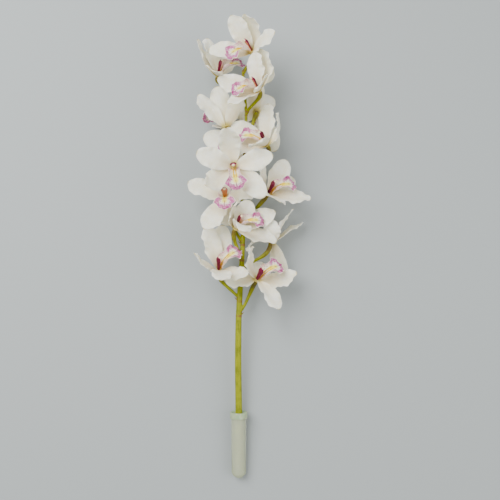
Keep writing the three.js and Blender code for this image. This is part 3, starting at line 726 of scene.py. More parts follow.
def lip(number, sizes):
    """The lip in the flower's frame: side lobes round the column, a crisped front lobe, two crests."""
    dice = np.random.RandomState(7000 + number)
    rise = math.radians(LIP_RISE)
    start = (LIP_START, (0, -math.cos(rise), math.sin(rise)), (0, math.sin(rise), math.cos(rise)))
    us, vs = tapering(sizes.rows), np.sin(np.linspace(-1, 1, sizes.columns + 1) * math.pi / 2)
    u, v = us[:, None], vs[None]
    outline = along(LIP_HALF_WIDTH, us)[:, None]
    toothed = np.sin(2 * math.pi * LIP_TEETH * u + dice.uniform(0, 6)) * smoothstep(0.5, 0.65, u)
    half_width = outline * (1 + LIP_TOOTH * toothed)
    frames = walk(start, LIP_LENGTH, **LIP_BEND)
    points, normals = curled_grid(frames, us, vs, half_width, along(LIP_CURL, us))
    across = half_width * v
    length = np.broadcast_to(u * LIP_LENGTH, across.shape)
    to_side, to_tip = (1 - np.abs(v)) * half_width, (LIP_LENGTH - length) * 0.9
    margin = to_side * to_tip / np.sqrt(to_side**2 + to_tip**2 + 1e-9)
    front_lobe = smoothstep(0.5, 0.62, u)
    heading = np.arctan2(across, length - 0.68 * LIP_LENGTH)
    crisp = np.sin(8 * heading + dice.uniform(0, 6)) + 0.6 * np.sin(15 * heading + dice.uniform(0, 6))
    lift = sizes.crisp / MM * crisp * np.exp(-margin / 3.2) * front_lobe
    side_wave = np.sin(2 * math.pi * SIDE_LOBE_WAVES * u + dice.uniform(0, 6)) * v**2 * (1 - front_lobe)
    lift = lift + SIDE_LOBE_WAVE * side_wave
    points = points + normals * lift[..., None]
    half = half_thickness(sizes.thickness, LIP_TAPER, u, v)
    crest = np.exp(-(((np.abs(across) - CREST_APART) / CREST_WIDTH) ** 2))
    crest = crest * (smoothstep(0.05, 0.16, u) - smoothstep(0.52, 0.6, u))  # from the throat to the waist
    crest = crest * (1 + 0.35 * smoothstep(0.4, 0.52, u))  # it swells at its end
    front = points + normals * (half + sizes.crest / MM * crest)[..., None]
    back = points - normals * half[..., None]
    uv = np.stack([across + 61 * number, length], axis=-1) / UV_SCALE
    reach = np.broadcast_to(u, across.shape)
    return shell(front, back, uv, reach=reach, middle=np.abs(across), margin=margin, crest=crest)


def column(sizes):
    """The column in the flower's frame: an arched half tube with a pollen cap under its tip."""

    def hollow(u, turns, wide, thick):
        below = np.sin(turns) > 0
        dent = 0.45 * np.exp(-((np.cos(turns) / 0.5) ** 2)) * smoothstep(0.1, 0.4, u)
        return wide, np.where(below, thick * (0.62 - dent), thick)

    points, faces, frames = column_rings(sizes.rows, sizes.columns, hollow)
    turns = np.linspace(0, 2 * math.pi, sizes.columns, endpoint=False)
    under = np.append(np.tile(np.clip(np.sin(turns), 0, 1), sizes.rows + 1), [0.5, 0.5])
    reach = np.append(np.repeat(np.linspace(0, 1, sizes.rows + 1), sizes.columns), [0, 1])
    body = part_of(points, faces, under=under, reach=reach)
    at, along_it = frames["at"][-1], frames["along"][-1]
    face, across = frames["face"][-1], frames["across"][-1]
    cap_at = at + along_it * 0.3 + face * 1.3
    cap = ball(cap_at, (across, face, along_it), (2.5, 2.0, 1.9), finish=1)
    marks = []
    for side in (-1, 1):
        mark_at = cap_at + face * 0.8 + along_it * 1.5 + across * side * 0.9
        marks.append(ball(mark_at, (across, face, along_it), (0.5, 0.5, 0.5), 10, 6, finish=2))
    return joined([body, cap, *marks])


# ---- the stalk -----------------------------------------------------------------------------

# the brown ring on the stem under each side stalk
JOINT_BELOW = 3.5
JOINT_LENGTH = 1.8
JOINT_SWELLING = 0.35
SWELLING_LENGTH = 1.4


def stem_line(step=1.2):
    """Points of the stem's axis, a smooth curve through its given points."""
    given = np.array(STEM_AXIS, float)
    heights = given[:, 1]
    slopes = np.gradient(given[:, [0, 2]], heights, axis=0)
    ys = np.arange(heights[0], heights[-1], step)
    after = np.clip(np.searchsorted(heights, ys, side="right"), 1, len(given) - 1)
    span = (heights[after] - heights[after - 1])[:, None]
    t = (ys[:, None] - heights[after - 1][:, None]) / span
    low, high = given[after - 1][:, [0, 2]], given[after][:, [0, 2]]
    xz = (2 * t**3 - 3 * t**2 + 1) * low + (t**3 - 2 * t**2 + t) * span * slopes[after - 1]
    xz = xz + (3 * t**2 - 2 * t**3) * high + (t**3 - t**2) * span * slopes[after]
    return np.stack([xz[:, 0], ys, xz[:, 1]], axis=1)


def stem_radii(line):
    share = (line[:, 1] - line[0, 1]) / (line[-1, 1] - line[0, 1])
    return np.interp(share * (len(STEM_RADII) - 1), range(len(STEM_RADII)), STEM_RADII)


def stem_point(line, height):
    return np.array([np.interp(height, line[:, 1], line[:, axis]) for axis in range(3)])


def pedicel_line(flower, line, steps=44):
    start, end = stem_point(line, flower["node"]), np.array(flower["at"], float)
    face = unit(flower["faces"])
    reach = np.linalg.norm(end - start)
    outwards = unit((end - start) * (1, 0, 1))
    leaving = np.array([0, 0.75, 0]) + outwards * 0.65
    bend, arrive, end = start + leaving * reach * 0.4, end - face * reach * 0.4, end - face * GAP
    t = np.linspace(0, 1, steps + 1)[:, None]
    return (1 - t) ** 3 * start + 3 * (1 - t) ** 2 * t * bend + 3 * (1 - t) * t**2 * arrive + t**3 * end


def stalk_lines():
    """All centre lines of the stalk, each with its radii and how far along its own flower stalk it is."""
    stem = stem_line()
    heights = np.array([flower["node"] for flower in FLOWERS], float)
    from_node = np.abs(stem[:, 1][:, None] - heights + JOINT_BELOW).min(1)
    radii = stem_radii(stem) + JOINT_SWELLING * np.exp(-((from_node / SWELLING_LENGTH) ** 2))
    joint = np.exp(-((from_node / JOINT_LENGTH) ** 2))
    lines = [{"points": stem, "radii": radii, "joint": joint, "ovary": np.zeros(len(stem))}]
    for flower in FLOWERS:
        points = pedicel_line(flower, stem)
        t = np.linspace(0, 1, len(points))
        foot = np.linalg.norm(points - points[0], axis=1)
        skin = np.interp(flower["node"], stem[:, 1], stem_radii(stem))
        joint = np.exp(-(((foot - skin) / JOINT_LENGTH) ** 2)) + 0.8 * np.exp(-(((t - 1) / 0.03) ** 2))
        radii = along(PEDICEL_RADII, t)
        lines.append({"points": points, "radii": radii, "joint": joint, "ovary": t})
    return lines


def bract(flower, line, rows=14, columns=10):
    """The small brown-edged leaf under a flower's stalk."""
    at = stem_point(line, flower["node"])
    outwards = unit((np.array(flower["at"], float) - at) * (1, 0, 1))
    radius = np.interp(flower["node"], line[:, 1], stem_radii(line))
    up = np.array([0, 1.0, 0])
    at = at + outwards * radius * 0.6
    at[1] = flower["node"] - BRACT["below"]
    frames = walk((at, unit(up + outwards), unit(up - outwards)), BRACT["length"], rows=rows)
    us, vs = tapering(rows), np.linspace(-1, 1, columns + 1)
    half_width = (BRACT["width"] / 2 * (1 - us**2))[:, None]
    points, normals = curled_grid(frames, us, vs, half_width, np.full(rows + 1, 50.0))
    half = BRACT["thickness"] / 2 * (1 - vs[None] ** 2) * np.ones_like(us)[:, None] * (1 - us)[:, None]
    half[0] = 0
    offset = normals * half[..., None]
    dry = np.broadcast_to(0.25 + 0.75 * us[:, None], half.shape)
    return shell(points + offset, points - offset, np.zeros((*half.shape, 2)), joint=dry)


# ---- Geometry Nodes: the stalk's rounds ----------------------------------------------------


def stalk_tree():
    """Turns lines with a thickness at each point into closed round stalks."""
    tree = bpy.data.node_groups.new("Stalk from lines", "GeometryNodeTree")
    tree.interface.new_socket("Geometry", in_out="OUTPUT", socket_type="NodeSocketGeometry")
    tree.interface.new_socket("Lines", in_out="INPUT", socket_type="NodeSocketGeometry")
    sides = tree.interface.new_socket("Sides", in_out="INPUT", socket_type="NodeSocketInt")
    sides.default_value, sides.min_value = 20, 6
    fullness = tree.interface.new_socket("Fullness", in_out="INPUT", socket_type="NodeSocketFloat")
    fullness.default_value, fullness.min_value = 1.0, 0.5
    finish = tree.interface.new_socket("Finish", in_out="INPUT", socket_type="NodeSocketMaterial")
    graph = Graph(tree)
    given = graph.node("NodeGroupInput").outputs
    thickness = graph.node("GeometryNodeInputNamedAttribute", {"Name": "thickness"}).outputs["Attribute"]
    scale = graph.times(thickness, given["Fullness"])
    lines = graph.node("GeometryNodeMeshToCurve", {"Mesh": given["Lines"]}).outputs["Curve"]
    ring = graph.node("GeometryNodeCurvePrimitiveCircle", {"Resolution": given["Sides"], "Radius": 1.0})
    solid = graph.node(
        "GeometryNodeCurveToMesh",
        {"Curve": lines, "Profile Curve": ring.outputs["Curve"], "Scale": scale, "Fill Caps": True},
    )
    real = graph.node("GeometryNodeRealizeInstances", {"Geometry": solid.outputs["Mesh"]})
    painted = graph.node(
        "GeometryNodeSetMaterial", {"Geometry": real.outputs["Geometry"], "Material": given["Finish"]}
    )
    graph.node("NodeGroupOutput", {"Geometry": painted.outputs["Geometry"]})
    return tree, {"sides": sides.identifier, "fullness": fullness.identifier, "finish": finish.identifier}


def stalk_mesh(lines, sizes, material):
    """The stem and all flower stalks as one smooth skin."""
    source = bpy.data.meshes.new("stalk lines")
    points = np.concatenate([line["points"] for line in lines]) * MM
    points = points @ SPRAY[:3, :3].T + SPRAY[:3, 3]
    edges, first = [], 0
    for line in lines:
        count = len(line["points"])
        edges += [(first + i, first + i + 1) for i in range(count - 1)]
        first += count
    source.from_pydata(points.tolist(), edges, [])
    layer = source.attributes.new("thickness", "FLOAT", "POINT")
    radii = np.concatenate([line["radii"] for line in lines]) * MM
    layer.data.foreach_set("value", radii.astype(np.float32))
    holder = bpy.data.objects.new("stalk lines", source)
    bpy.context.scene.collection.objects.link(holder)
    tree, sockets = stalk_tree()
    rounds = holder.modifiers.new("rounds", "NODES")
    rounds.node_group = tree
    rounds[sockets["sides"]] = sizes.sides
    rounds[sockets["fullness"]] = sizes.fullness
    rounds[sockets["finish"]] = material
    skin = holder.modifiers.new("skin", "REMESH")
    skin.mode, skin.voxel_size = "VOXEL", sizes.skin
    smooth = holder.modifiers.new("smooth", "SMOOTH")
    smooth.factor, smooth.iterations = 0.5, 5
    evaluated = holder.evaluated_get(bpy.context.evaluated_depsgraph_get())
    mesh = bpy.data.meshes.new_from_object(evaluated)
    bpy.data.objects.remove(holder)
    return mesh


def slanted_cut(points):
    """Points beyond the stem's slanting cut are brought back onto it."""
    normal = np.array([0, math.cos(math.radians(CUT_SLANT)), math.sin(math.radians(CUT_SLANT))])
    middle = np.array(STEM_AXIS[0], float) + (0, STEM_RADII[0], 0)
    beyond = np.minimum((points - middle) @ normal, 0)
    return points - beyond[:, None] * normal


def stalk(sizes, material):
    """The whole stalk as a part in the spray's frame, its colours' masks read off its lines."""
    lines = stalk_lines()
    mesh = stalk_mesh(lines, sizes, material)
    points = np.array([vertex.co for vertex in mesh.vertices])
    points = slanted_cut((points - SPRAY[:3, 3]) @ SPRAY[:3, :3] / MM)
    samples = np.concatenate([line["points"] for line in lines])
    radii = np.concatenate([line["radii"] for line in lines])
    masks = {name: np.concatenate([line[name] for line in lines]) for name in ("joint", "ovary")}
    tree = KDTree(len(samples))
    for index, point in enumerate(samples):
        tree.insert(point, index)
    tree.balance()
    nearest = []
    for point in points:
        found = tree.find_n(point, 6)
        nearest.append(min(found, key=lambda hit: hit[2] - radii[hit[1]])[1])
    masks = {name: values[nearest] for name, values in masks.items()}
    faces = [tuple(polygon.vertices) for polygon in mesh.polygons]
    bpy.data.meshes.remove(mesh)
    skin = part_of(points, faces, **masks)
    return joined([skin] + [bract(flower, lines[0]["points"]) for flower in FLOWERS])


# ---- the tube, its cap and the water -------------------------------------------------------


def round_end(radius, steps=14):
    """The round end of the tube's outside or inside, from the axis to the straight side."""
    turns = np.linspace(0, math.pi / 2, steps + 1)
    return [(radius * math.sin(turn), TUBE_END_RADIUS - radius * math.cos(turn)) for turn in turns]


def tube_profile():
    outside = [*round_end(TUBE_END_RADIUS), (TUBE_MOUTH_RADIUS, TUBE_LENGTH)]
    inside = [*round_end(TUBE_END_RADIUS - TUBE_WALL), (TUBE_MOUTH_RADIUS - TUBE_WALL, TUBE_LENGTH)]
    return outside + inside[::-1]


def cap_profile(hole):
    """The cap's section, from its inner rim round and back, with a rolled edge and a dished membrane."""
    inside = TUBE_MOUTH_RADIUS + GAP
    outside = inside + CAP_WALL
    top = TUBE_LENGTH + GAP + CAP_TOP
    lining = TUBE_MOUTH_RADIUS - TUBE_WALL
    skirt = TUBE_LENGTH - CAP_SKIRT
    return [
        (inside, skirt + 1),
        (inside, skirt),
        (outside, skirt),
        (outside, top - 2.6),
        (outside, top),
        (lining + 0.6, top),
        (lining - 1.4, top - 1.0),
        (hole + 0.8, top - CAP_DISH + 0.3),
        (hole, top - CAP_DISH - 0.2),
        (hole, top - CAP_DISH - CAP_TOP),
        (lining - GAP, TUBE_LENGTH - CAP_TOP),
        (lining - GAP, TUBE_LENGTH + GAP),
        (inside, TUBE_LENGTH + GAP),
        (inside, skirt + 1),
    ]


def water_mesh(sides):
    """The water's level surface and its body against the tube's inside, in the row frame."""
    radius = TUBE_END_RADIUS - TUBE_WALL + 0.1
    widening = (TUBE_MOUTH_RADIUS - TUBE_END_RADIUS) / (TUBE_LENGTH - TUBE_END_RADIUS)
    end = TUBE_LENGTH + GAP - CAP_DISH - WATER_GAP
    profile = [*round_end(radius), (radius + widening * (end - TUBE_END_RADIUS), end), (0, end)]
    room = lathe(profile, sides)
    shape = bmesh.new()
    points = room["points"] * MM @ SPRAY[:3, :3].T + SPRAY[:3, 3]
    corners = [shape.verts.new(point) for point in points]
    for face in room["faces"]:
        shape.faces.new([corners[corner] for corner in face])
    bmesh.ops.remove_doubles(shape, verts=shape.verts, dist=0.01 * MM)
    cut = bmesh.ops.bisect_plane(
        shape,
        geom=[*shape.verts, *shape.edges, *shape.faces],
        plane_co=(0, 0, WATER_LEVEL * MM),
        plane_no=(0, 0, 1),
        clear_outer=True,
    )
    rim = [item for item in cut["geom_cut"] if isinstance(item, bmesh.types.BMEdge)]
    bmesh.ops.contextual_create(shape, geom=rim)
    bmesh.ops.recalc_face_normals(shape, faces=shape.faces)
    bmesh.ops.triangulate(shape, faces=[face for face in shape.faces if len(face.verts) > 4])
    mesh = bpy.data.meshes.new("water")
    shape.to_mesh(mesh)
    shape.free()
    return mesh

# ---- materials -----------------------------------------------------------------------------


class Graph:
    """Adds nodes to a tree and wires them."""

    def __init__(self, tree):
        self.tree = tree

    def node(self, kind, inputs=None, **settings):
        made = self.tree.nodes.new(kind)
        for name, value in settings.items():
            setattr(made, name, value)
        for key, value in (inputs or {}).items():
            if isinstance(value, bpy.types.NodeSocket):
                self.tree.links.new(value, made.inputs[key])
            else:
                made.inputs[key].default_value = value
        return made

    def maths(self, operation, a, b=0.0):
        return self.node("ShaderNodeMath", {0: a, 1: b}, operation=operation).outputs[0]

    def times(self, a, b):
        return self.maths("MULTIPLY", a, b)

    def plus(self, a, b):
        return self.maths("ADD", a, b)

    def ramp(self, value, low, high, start=0.0, end=1.0):
        """Eases from start to end while the value goes from low to high."""
        inputs = {"Value": value, "From Min": low, "From Max": high, "To Min": start, "To Max": end}
        return self.node("ShaderNodeMapRange", inputs, interpolation_type="SMOOTHSTEP").outputs[0]

    def band(self, value, low, high, soft):
        """1 between low and high, easing to 0 over soft outside them."""
        rise, fall = self.ramp(value, low - soft, low), self.ramp(value, high, high + soft, 1, 0)
        return self.times(rise, fall)

    def mix(self, share, first, second):
        inputs = {0: share, 6: first, 7: second}
        return self.node("ShaderNodeMix", inputs, data_type="RGBA").outputs[2]

    def attribute(self, name):
        return self.node("ShaderNodeAttribute", attribute_name=name).outputs["Fac"]

    def stretched(self, vector, times):
        inputs = {0: vector, 1: times}
        return self.node("ShaderNodeVectorMath", inputs, operation="MULTIPLY").outputs[0]

    def noise(self, vector, scale, detail=2.0, roughness=0.5, distortion=0.0):
        inputs = {"Vector": vector, "Scale": scale, "Detail": detail, "Roughness": roughness}
        inputs["Distortion"] = distortion
        return self.node("ShaderNodeTexNoise", inputs).outputs["Fac"]

    def spots(self, vector, scale, size, soft):
        """Round flecks of about that share of their spacing."""
        cells = self.node("ShaderNodeTexVoronoi", {"Vector": vector, "Scale": scale})
        return self.ramp(cells.outputs["Distance"], size, size + soft, 1, 0)


def colour(red, green, blue):
    """A linear colour from the usual 0 to 255 values."""

    def linear(value):
        value = value / 255
        return value / 12.92 if value <= 0.04045 else ((value + 0.055) / 1.055) ** 2.4

    return (linear(red), linear(green), linear(blue), 1.0)


STREAK_SPACING = (60, 3.5, 60)  # streaks in one unit across, along and through the tissue


def waxy_tissue():
    """Shader group: fine streaks, soft mottling and grain of waxy plant tissue."""
    group = bpy.data.node_groups.get("Waxy tissue")
    if group:
        return group
    group = bpy.data.node_groups.new("Waxy tissue", "ShaderNodeTree")
    taken = {"Vector": "Vector", "Light": "Color", "Shade": "Color", "Streaks": "Float", "Mottle": "Float"}
    for name, kind in taken.items():
        group.interface.new_socket(name, in_out="INPUT", socket_type="NodeSocket" + kind)
    for name, kind in {"Tint": "Color", "Roughness": "Float", "Height": "Float"}.items():
        group.interface.new_socket(name, in_out="OUTPUT", socket_type="NodeSocket" + kind)
    graph = Graph(group)
    given = graph.node("NodeGroupInput").outputs
    streaks = graph.noise(graph.stretched(given["Vector"], STREAK_SPACING), 1.0, detail=3.0)
    mottle = graph.noise(given["Vector"], 9.0, detail=3.0, roughness=0.6)
    grain = graph.noise(given["Vector"], 140.0, detail=1.0)
    share = graph.times(graph.ramp(streaks, 0.42, 0.72), given["Streaks"])
    share = graph.plus(share, graph.times(graph.ramp(mottle, 0.4, 0.7), given["Mottle"]))
    height = graph.plus(graph.times(streaks, 0.8), graph.times(grain, 0.2))
    outputs = {"Tint": graph.mix(share, given["Light"], given["Shade"])}
    outputs["Roughness"] = graph.ramp(mottle, 0.3, 0.7, 0.42, 0.58)
    outputs["Height"] = height
    graph.node("NodeGroupOutput", outputs)
    return group


def finish_of(name):
    """A new material's graph and its shader."""
    material = bpy.data.materials.new(name)
    material.use_nodes = True
    material.node_tree.nodes.clear()
    graph = Graph(material.node_tree)
    shader = graph.node("ShaderNodeBsdfPrincipled")
    graph.node("ShaderNodeOutputMaterial", {"Surface": shader.outputs[0]})
    return material, graph, shader


def wire(graph, shader, **inputs):
    for name, value in inputs.items():
        socket = shader.inputs[name.replace("_", " ")]
        if isinstance(value, bpy.types.NodeSocket):
            graph.tree.links.new(value, socket)
        else:
            socket.default_value = value


def tissue(graph, vector, light, shade, streaks, mottle):
    inputs = {"Vector": vector, "Light": light, "Shade": shade, "Streaks": streaks, "Mottle": mottle}
    made = graph.node("ShaderNodeGroup", node_tree=waxy_tissue())
    for name, value in inputs.items():
        if isinstance(value, bpy.types.NodeSocket):
            graph.tree.links.new(value, made.inputs[name])
        else:
            made.inputs[name].default_value = value
    return made.outputs


TISSUE_RELIEF = 0.3 * MM


def fleshy(graph, shader, skin, tint, strength=0.25, depth=0.0015):
    """The soft, faintly translucent skin of petals: light goes a little way in."""
    bump = graph.node(
        "ShaderNodeBump", {"Height": skin["Height"], "Strength": strength, "Distance": TISSUE_RELIEF}
    )
    wire(graph, shader, Base_Color=tint, Roughness=skin["Roughness"], Normal=bump.outputs[0])
    wire(graph, shader, IOR=1.4, Subsurface_Weight=0.35, Subsurface_Scale=depth)
    wire(graph, shader, Subsurface_Radius=(1.0, 0.85, 0.6), Specular_IOR_Level=0.35)


def tepal_finish(name, light, shade):
    """Ivory tissue, a green and yellow root, a faint green point and painted beige shade towards its middle
    and root, where the cup is deepest.
    """
    material, graph, shader = finish_of(name)
    vector = graph.node("ShaderNodeUVMap", uv_map="tissue").outputs[0]
    skin = tissue(graph, vector, light, shade, 0.25, 0.5)
    reach, across = graph.attribute("reach"), graph.attribute("across")
    patch = graph.noise(vector, 14.0)
    # painted shade: beige laid over the tepal towards its root and midline, where the cupped tepal lies in
    # shade, fading to a lighter edge
    inner = graph.times(
        graph.ramp(reach, 0.1, 0.75, 0.6, 0), graph.ramp(across, 0.2, 1.0, 1, 0.3)
    )
    tint = graph.mix(inner, skin["Tint"], colour(230, 214, 174))
    root = graph.ramp(graph.plus(reach, graph.times(patch, 0.08)), 0.03, 0.2, 0.85, 0)
    tint = graph.mix(root, tint, colour(196, 178, 74))
    point = graph.times(graph.ramp(reach, 0.965, 0.995), 0.7)
    tint = graph.mix(point, tint, colour(176, 160, 92))
    fleshy(graph, shader, skin, tint)
    return material


def lip_finish():
    """Cream, an uneven magenta band inside a pale margin, a yellow middle and crests, maroon flecks."""
    material, graph, shader = finish_of("lip tissue")
    vector = graph.node("ShaderNodeUVMap", uv_map="tissue").outputs[0]
    skin = tissue(graph, vector, colour(244, 240, 226), colour(232, 222, 196), 0.2, 0.5)
    reach, middle = graph.attribute("reach"), graph.attribute("middle")
    margin, crest = graph.attribute("margin"), graph.attribute("crest")
    broken = graph.noise(vector, 55.0, detail=3.0, roughness=0.65, distortion=0.6)
    patchy = graph.noise(vector, 16.0, detail=2.0)
    # side lobes: a pink flush and speckles that thin out away from the margin
    front = graph.ramp(reach, 0.5, 0.6)
    sides = graph.times(graph.ramp(reach, 0.1, 0.2), graph.ramp(reach, 0.5, 0.6, 1, 0))
    blush = graph.times(graph.ramp(margin, 0.3, 9, 0.6, 0), sides)
    tint = graph.mix(blush, skin["Tint"], colour(222, 178, 190))
    speckles = graph.spots(graph.stretched(vector, (60, 34, 60)), 1.0, 0.22, 0.12)
    thinning = graph.ramp(graph.plus(margin, graph.times(patchy, 6.0)), 5, 11, 1, 0)
    speckled = graph.times(graph.times(speckles, thinning), graph.times(sides, 0.85))
    tint = graph.mix(speckled, tint, colour(176, 70, 128))
    # front lobe: a ragged band just inside the pale margin, with darker patches and loose blots
    ragged = graph.plus(margin, graph.times(graph.maths("SUBTRACT", broken, 0.5), 12.0))
    narrowing = graph.plus(ragged, graph.ramp(reach, 0.6, 1.0, 0, 1.2))
    inside = graph.ramp(graph.plus(margin, graph.times(broken, 0.8)), 1.0, 1.7)
    band = graph.times(graph.times(graph.ramp(narrowing, 7.0, 8.4, 1, 0), inside), front)
    uneven = graph.ramp(broken, 0.42, 0.58, 1, 0.68)
    tint = graph.mix(graph.times(band, uneven), tint, colour(182, 62, 142))
    patches = graph.times(graph.times(band, graph.ramp(patchy, 0.5, 0.66)), 0.8)
    tint = graph.mix(patches, tint, colour(142, 24, 98))
    blots = graph.spots(graph.stretched(vector, (46, 30, 46)), 1.0, 0.16, 0.1)
    near_waist = graph.times(graph.band(ragged, 4.5, 8.5, 2.0), graph.band(reach, 0.34, 0.66, 0.08))
    tint = graph.mix(graph.times(graph.times(blots, near_waist), 0.9), tint, colour(140, 40, 88))
    # the middle: a yellow flush, an orange throat, yellow crests with flecks, a maroon line to the tip
    flush = graph.times(graph.band(reach, 0.5, 0.68, 0.12), graph.ramp(middle, 1.5, 6.5, 0.85, 0))
    tint = graph.mix(flush, tint, colour(242, 226, 40))
    throat = graph.times(graph.ramp(reach, 0.06, 0.34, 0.9, 0), graph.ramp(middle, 4, 9, 1, 0.25))
    tint = graph.mix(throat, tint, colour(212, 160, 70))
    tint = graph.mix(graph.ramp(crest, 0.2, 0.5), tint, colour(232, 196, 0))
    flecks = graph.spots(graph.stretched(vector, (95, 60, 95)), 1.0, 0.2, 0.1)
    tint = graph.mix(graph.times(flecks, graph.band(crest, 0.12, 0.55, 0.1)), tint, colour(150, 60, 40))
    line = graph.times(graph.ramp(middle, 0.35, 0.75, 1, 0), graph.band(reach, 0.66, 0.84, 0.03))
    line = graph.times(line, graph.ramp(broken, 0.36, 0.5, 0.4, 1))
    tint = graph.mix(line, tint, colour(128, 26, 70))
    fleshy(graph, shader, skin, tint, strength=0.35, depth=0.001)
    return material


def column_finish():
    """Deep maroon above, a cream and orange underside with red streaks."""
    material, graph, shader = finish_of("column tissue")
    vector = graph.node("ShaderNodeTexCoord").outputs["Object"]
    skin = tissue(graph, vector, colour(104, 6, 44), colour(78, 3, 32), 0.4, 0.8)
    under, reach = graph.attribute("under"), graph.attribute("reach")
    rim = graph.band(under, 0.12, 0.32, 0.08)
    edge = graph.times(rim, graph.ramp(reach, 0.5, 0.9, 0.2, 0.8))
    tint = graph.mix(edge, skin["Tint"], colour(160, 52, 108))
    below = graph.mix(graph.ramp(reach, 0.2, 0.9), colour(224, 160, 84), colour(206, 140, 104))
    streaked = graph.ramp(graph.noise(vector, 900.0, detail=2.0), 0.52, 0.64, 0, 0.8)
    below = graph.mix(streaked, below, colour(172, 66, 60))
    tint = graph.mix(graph.ramp(under, 0.3, 0.6), tint, below)
    fleshy(graph, shader, skin, tint, depth=0.0006)
    return material


def plain_tissue(name, light, shade):
    material, graph, shader = finish_of(name)
    vector = graph.node("ShaderNodeTexCoord").outputs["Object"]
    skin = tissue(graph, graph.stretched(vector, (10, 10, 10)), light, shade, 0.3, 0.6)
    fleshy(graph, shader, skin, skin["Tint"], depth=0.0006)
    return material


def stalk_finish(sizes):
    """Yellow-green skin with olive streaks, brown joints and flecks, and dull brown-green ovaries."""
    material, graph, shader = finish_of("stalk skin")
    vector = graph.node("ShaderNodeTexCoord").outputs["Object"]
    light, shade = (*sizes.light, 1), (*sizes.shade, 1)
    skin = tissue(graph, graph.stretched(vector, (10, 10, 10)), light, shade, 0.5, 0.5)
    joint, ovary = graph.attribute("joint"), graph.attribute("ovary")
    blotch = graph.noise(vector, 130.0, detail=3.0, roughness=0.6)
    fleck = graph.spots(graph.stretched(vector, (700, 380, 700)), 1.0, 0.14, 0.1)
    fleck = graph.times(fleck, graph.ramp(blotch, 0.5, 0.62))
    tint = graph.mix(graph.times(fleck, 0.8), skin["Tint"], colour(112, 88, 26))
    ripe = graph.times(graph.ramp(ovary, 0.4, 0.95), graph.ramp(blotch, 0.35, 0.6, 0.35, 1))
    tint = graph.mix(ripe, tint, colour(104, 82, 40))
    rings = graph.times(graph.ramp(joint, 0.3, 0.85), graph.ramp(blotch, 0.38, 0.55, 0.4, 0.95))
    tint = graph.mix(rings, tint, colour(128, 92, 40))
    fleshy(graph, shader, skin, tint, strength=0.35, depth=0.0008)
    wire(graph, shader, Subsurface_Weight=0.15)
    return material


def tube_finish(sizes):
    """Frosted, milky plastic."""
    material, graph, shader = finish_of("frosted tube plastic")
    wire(graph, shader, Base_Color=(*sizes.plastic, 1), Roughness=0.12, IOR=1.15, Transmission_Weight=0.72)
    return material


def cap_finish(sizes):
    """Soft pale rubber with a faint bloom."""
    material, graph, shader = finish_of("cap rubber")
    vector = graph.node("ShaderNodeTexCoord").outputs["Object"]
    bloom = graph.noise(vector, 160.0, detail=3.0)
    pale = tuple(0.6 + 0.4 * value for value in sizes.rubber)
    tint = graph.mix(graph.ramp(bloom, 0.45, 0.75, 0, 0.35), (*sizes.rubber, 1), (*pale, 1))
    grain = graph.noise(vector, 2500.0)
    bump = graph.node("ShaderNodeBump", {"Height": grain, "Strength": 0.15, "Distance": 0.0001})
    wire(graph, shader, Base_Color=tint, Roughness=graph.ramp(bloom, 0.3, 0.7, 0.4, 0.55))
    wire(graph, shader, Normal=bump.outputs[0], Subsurface_Weight=0.4, Subsurface_Scale=0.002)
    return material


def water_finish(sizes):
    """Clear water with a faint yellow-green tinge."""
    material, graph, shader = finish_of("tube water")
    wire(graph, shader, Base_Color=(*sizes.tinge, 1), Roughness=0.0, IOR=1.2, Transmission_Weight=1.0)
    return material


# ---- what a user would change --------------------------------------------------------------


def length_property(name, description, default, least=0.0):
    return FloatProperty(
        name=name, description=description, default=default, min=least, subtype="DISTANCE", unit="LENGTH"
    )


def colour_property(name, description, red, green, blue):
    default = colour(red, green, blue)[:3]
    return FloatVectorProperty(
        name=name, description=description, default=default, subtype="COLOR", min=0, max=1
    )


class TepalSizes(bpy.types.PropertyGroup):
    """The sepals' and petals' relief and colours."""

    thickness: length_property(
        "Thickness", "A tepal's thickness, times 1.5 at its root and 0.8 at its tip", 0.9 * MM, 0.3 * MM
    )
    ruffle: length_property("Ruffle", "Height of the waves along a tepal's edges", 2.1 * MM)
    rolled_edge: length_property("Rolled edge", "How far the edges roll back", 2.2 * MM)
    midrib: length_property("Midrib", "Depth of the groove down a tepal's middle", 0.6 * MM)
    rows: IntProperty(name="Rows", description="Rows of faces from root to tip", default=40, min=8)
    columns: IntProperty(name="Columns", description="Faces across a tepal", default=22, min=6)
    sepal_light: colour_property("Sepal ivory", "The sepals' light colour", 250, 248, 232)
    petal_light: colour_property("Petal ivory", "The petals' light colour", 252, 250, 235)
    shade: colour_property("Beige", "The colour of the tepals' soft mottling", 238, 230, 200)


class LipSizes(bpy.types.PropertyGroup):
    """The lips' relief."""

    thickness: length_property(
        "Thickness", "The lip's thickness, times 1.3 at its root and 0.8 at its tip", 0.9 * MM, 0.3 * MM
    )
    crisp: length_property("Crisping", "Height of the folds round the front lobe's edge", 1.3 * MM)
    crest: length_property("Crests", "Height of the two ridges on the lip", 1.7 * MM)
    rows: IntProperty(name="Rows", description="Rows of faces from root to tip", default=60, min=12)
    columns: IntProperty(name="Columns", description="Faces across the lip", default=44, min=8)


class ColumnSizes(bpy.types.PropertyGroup):
    """The columns' mesh."""

    rows: IntProperty(name="Rows", description="Rings from root to tip", default=26, min=6)
    columns: IntProperty(name="Columns", description="Faces round a column", default=24, min=6)


class StalkSizes(bpy.types.PropertyGroup):
    """The stem and the flowers' stalks."""

    sides: IntProperty(name="Sides", description="Faces round each stalk under the skin", default=20, min=6)
    fullness: FloatProperty(
        name="Fullness", description="All stalks' thickness", default=1.0, min=0.5, subtype="FACTOR"
    )
    skin: length_property("Skin grid", "Grid of the skin that joins the stalks", 0.75 * MM, 0.4 * MM)
    light: colour_property("Yellow-green", "The stalk's light colour", 146, 150, 0)
    shade: colour_property("Olive", "The stalk's streaks", 100, 108, 0)


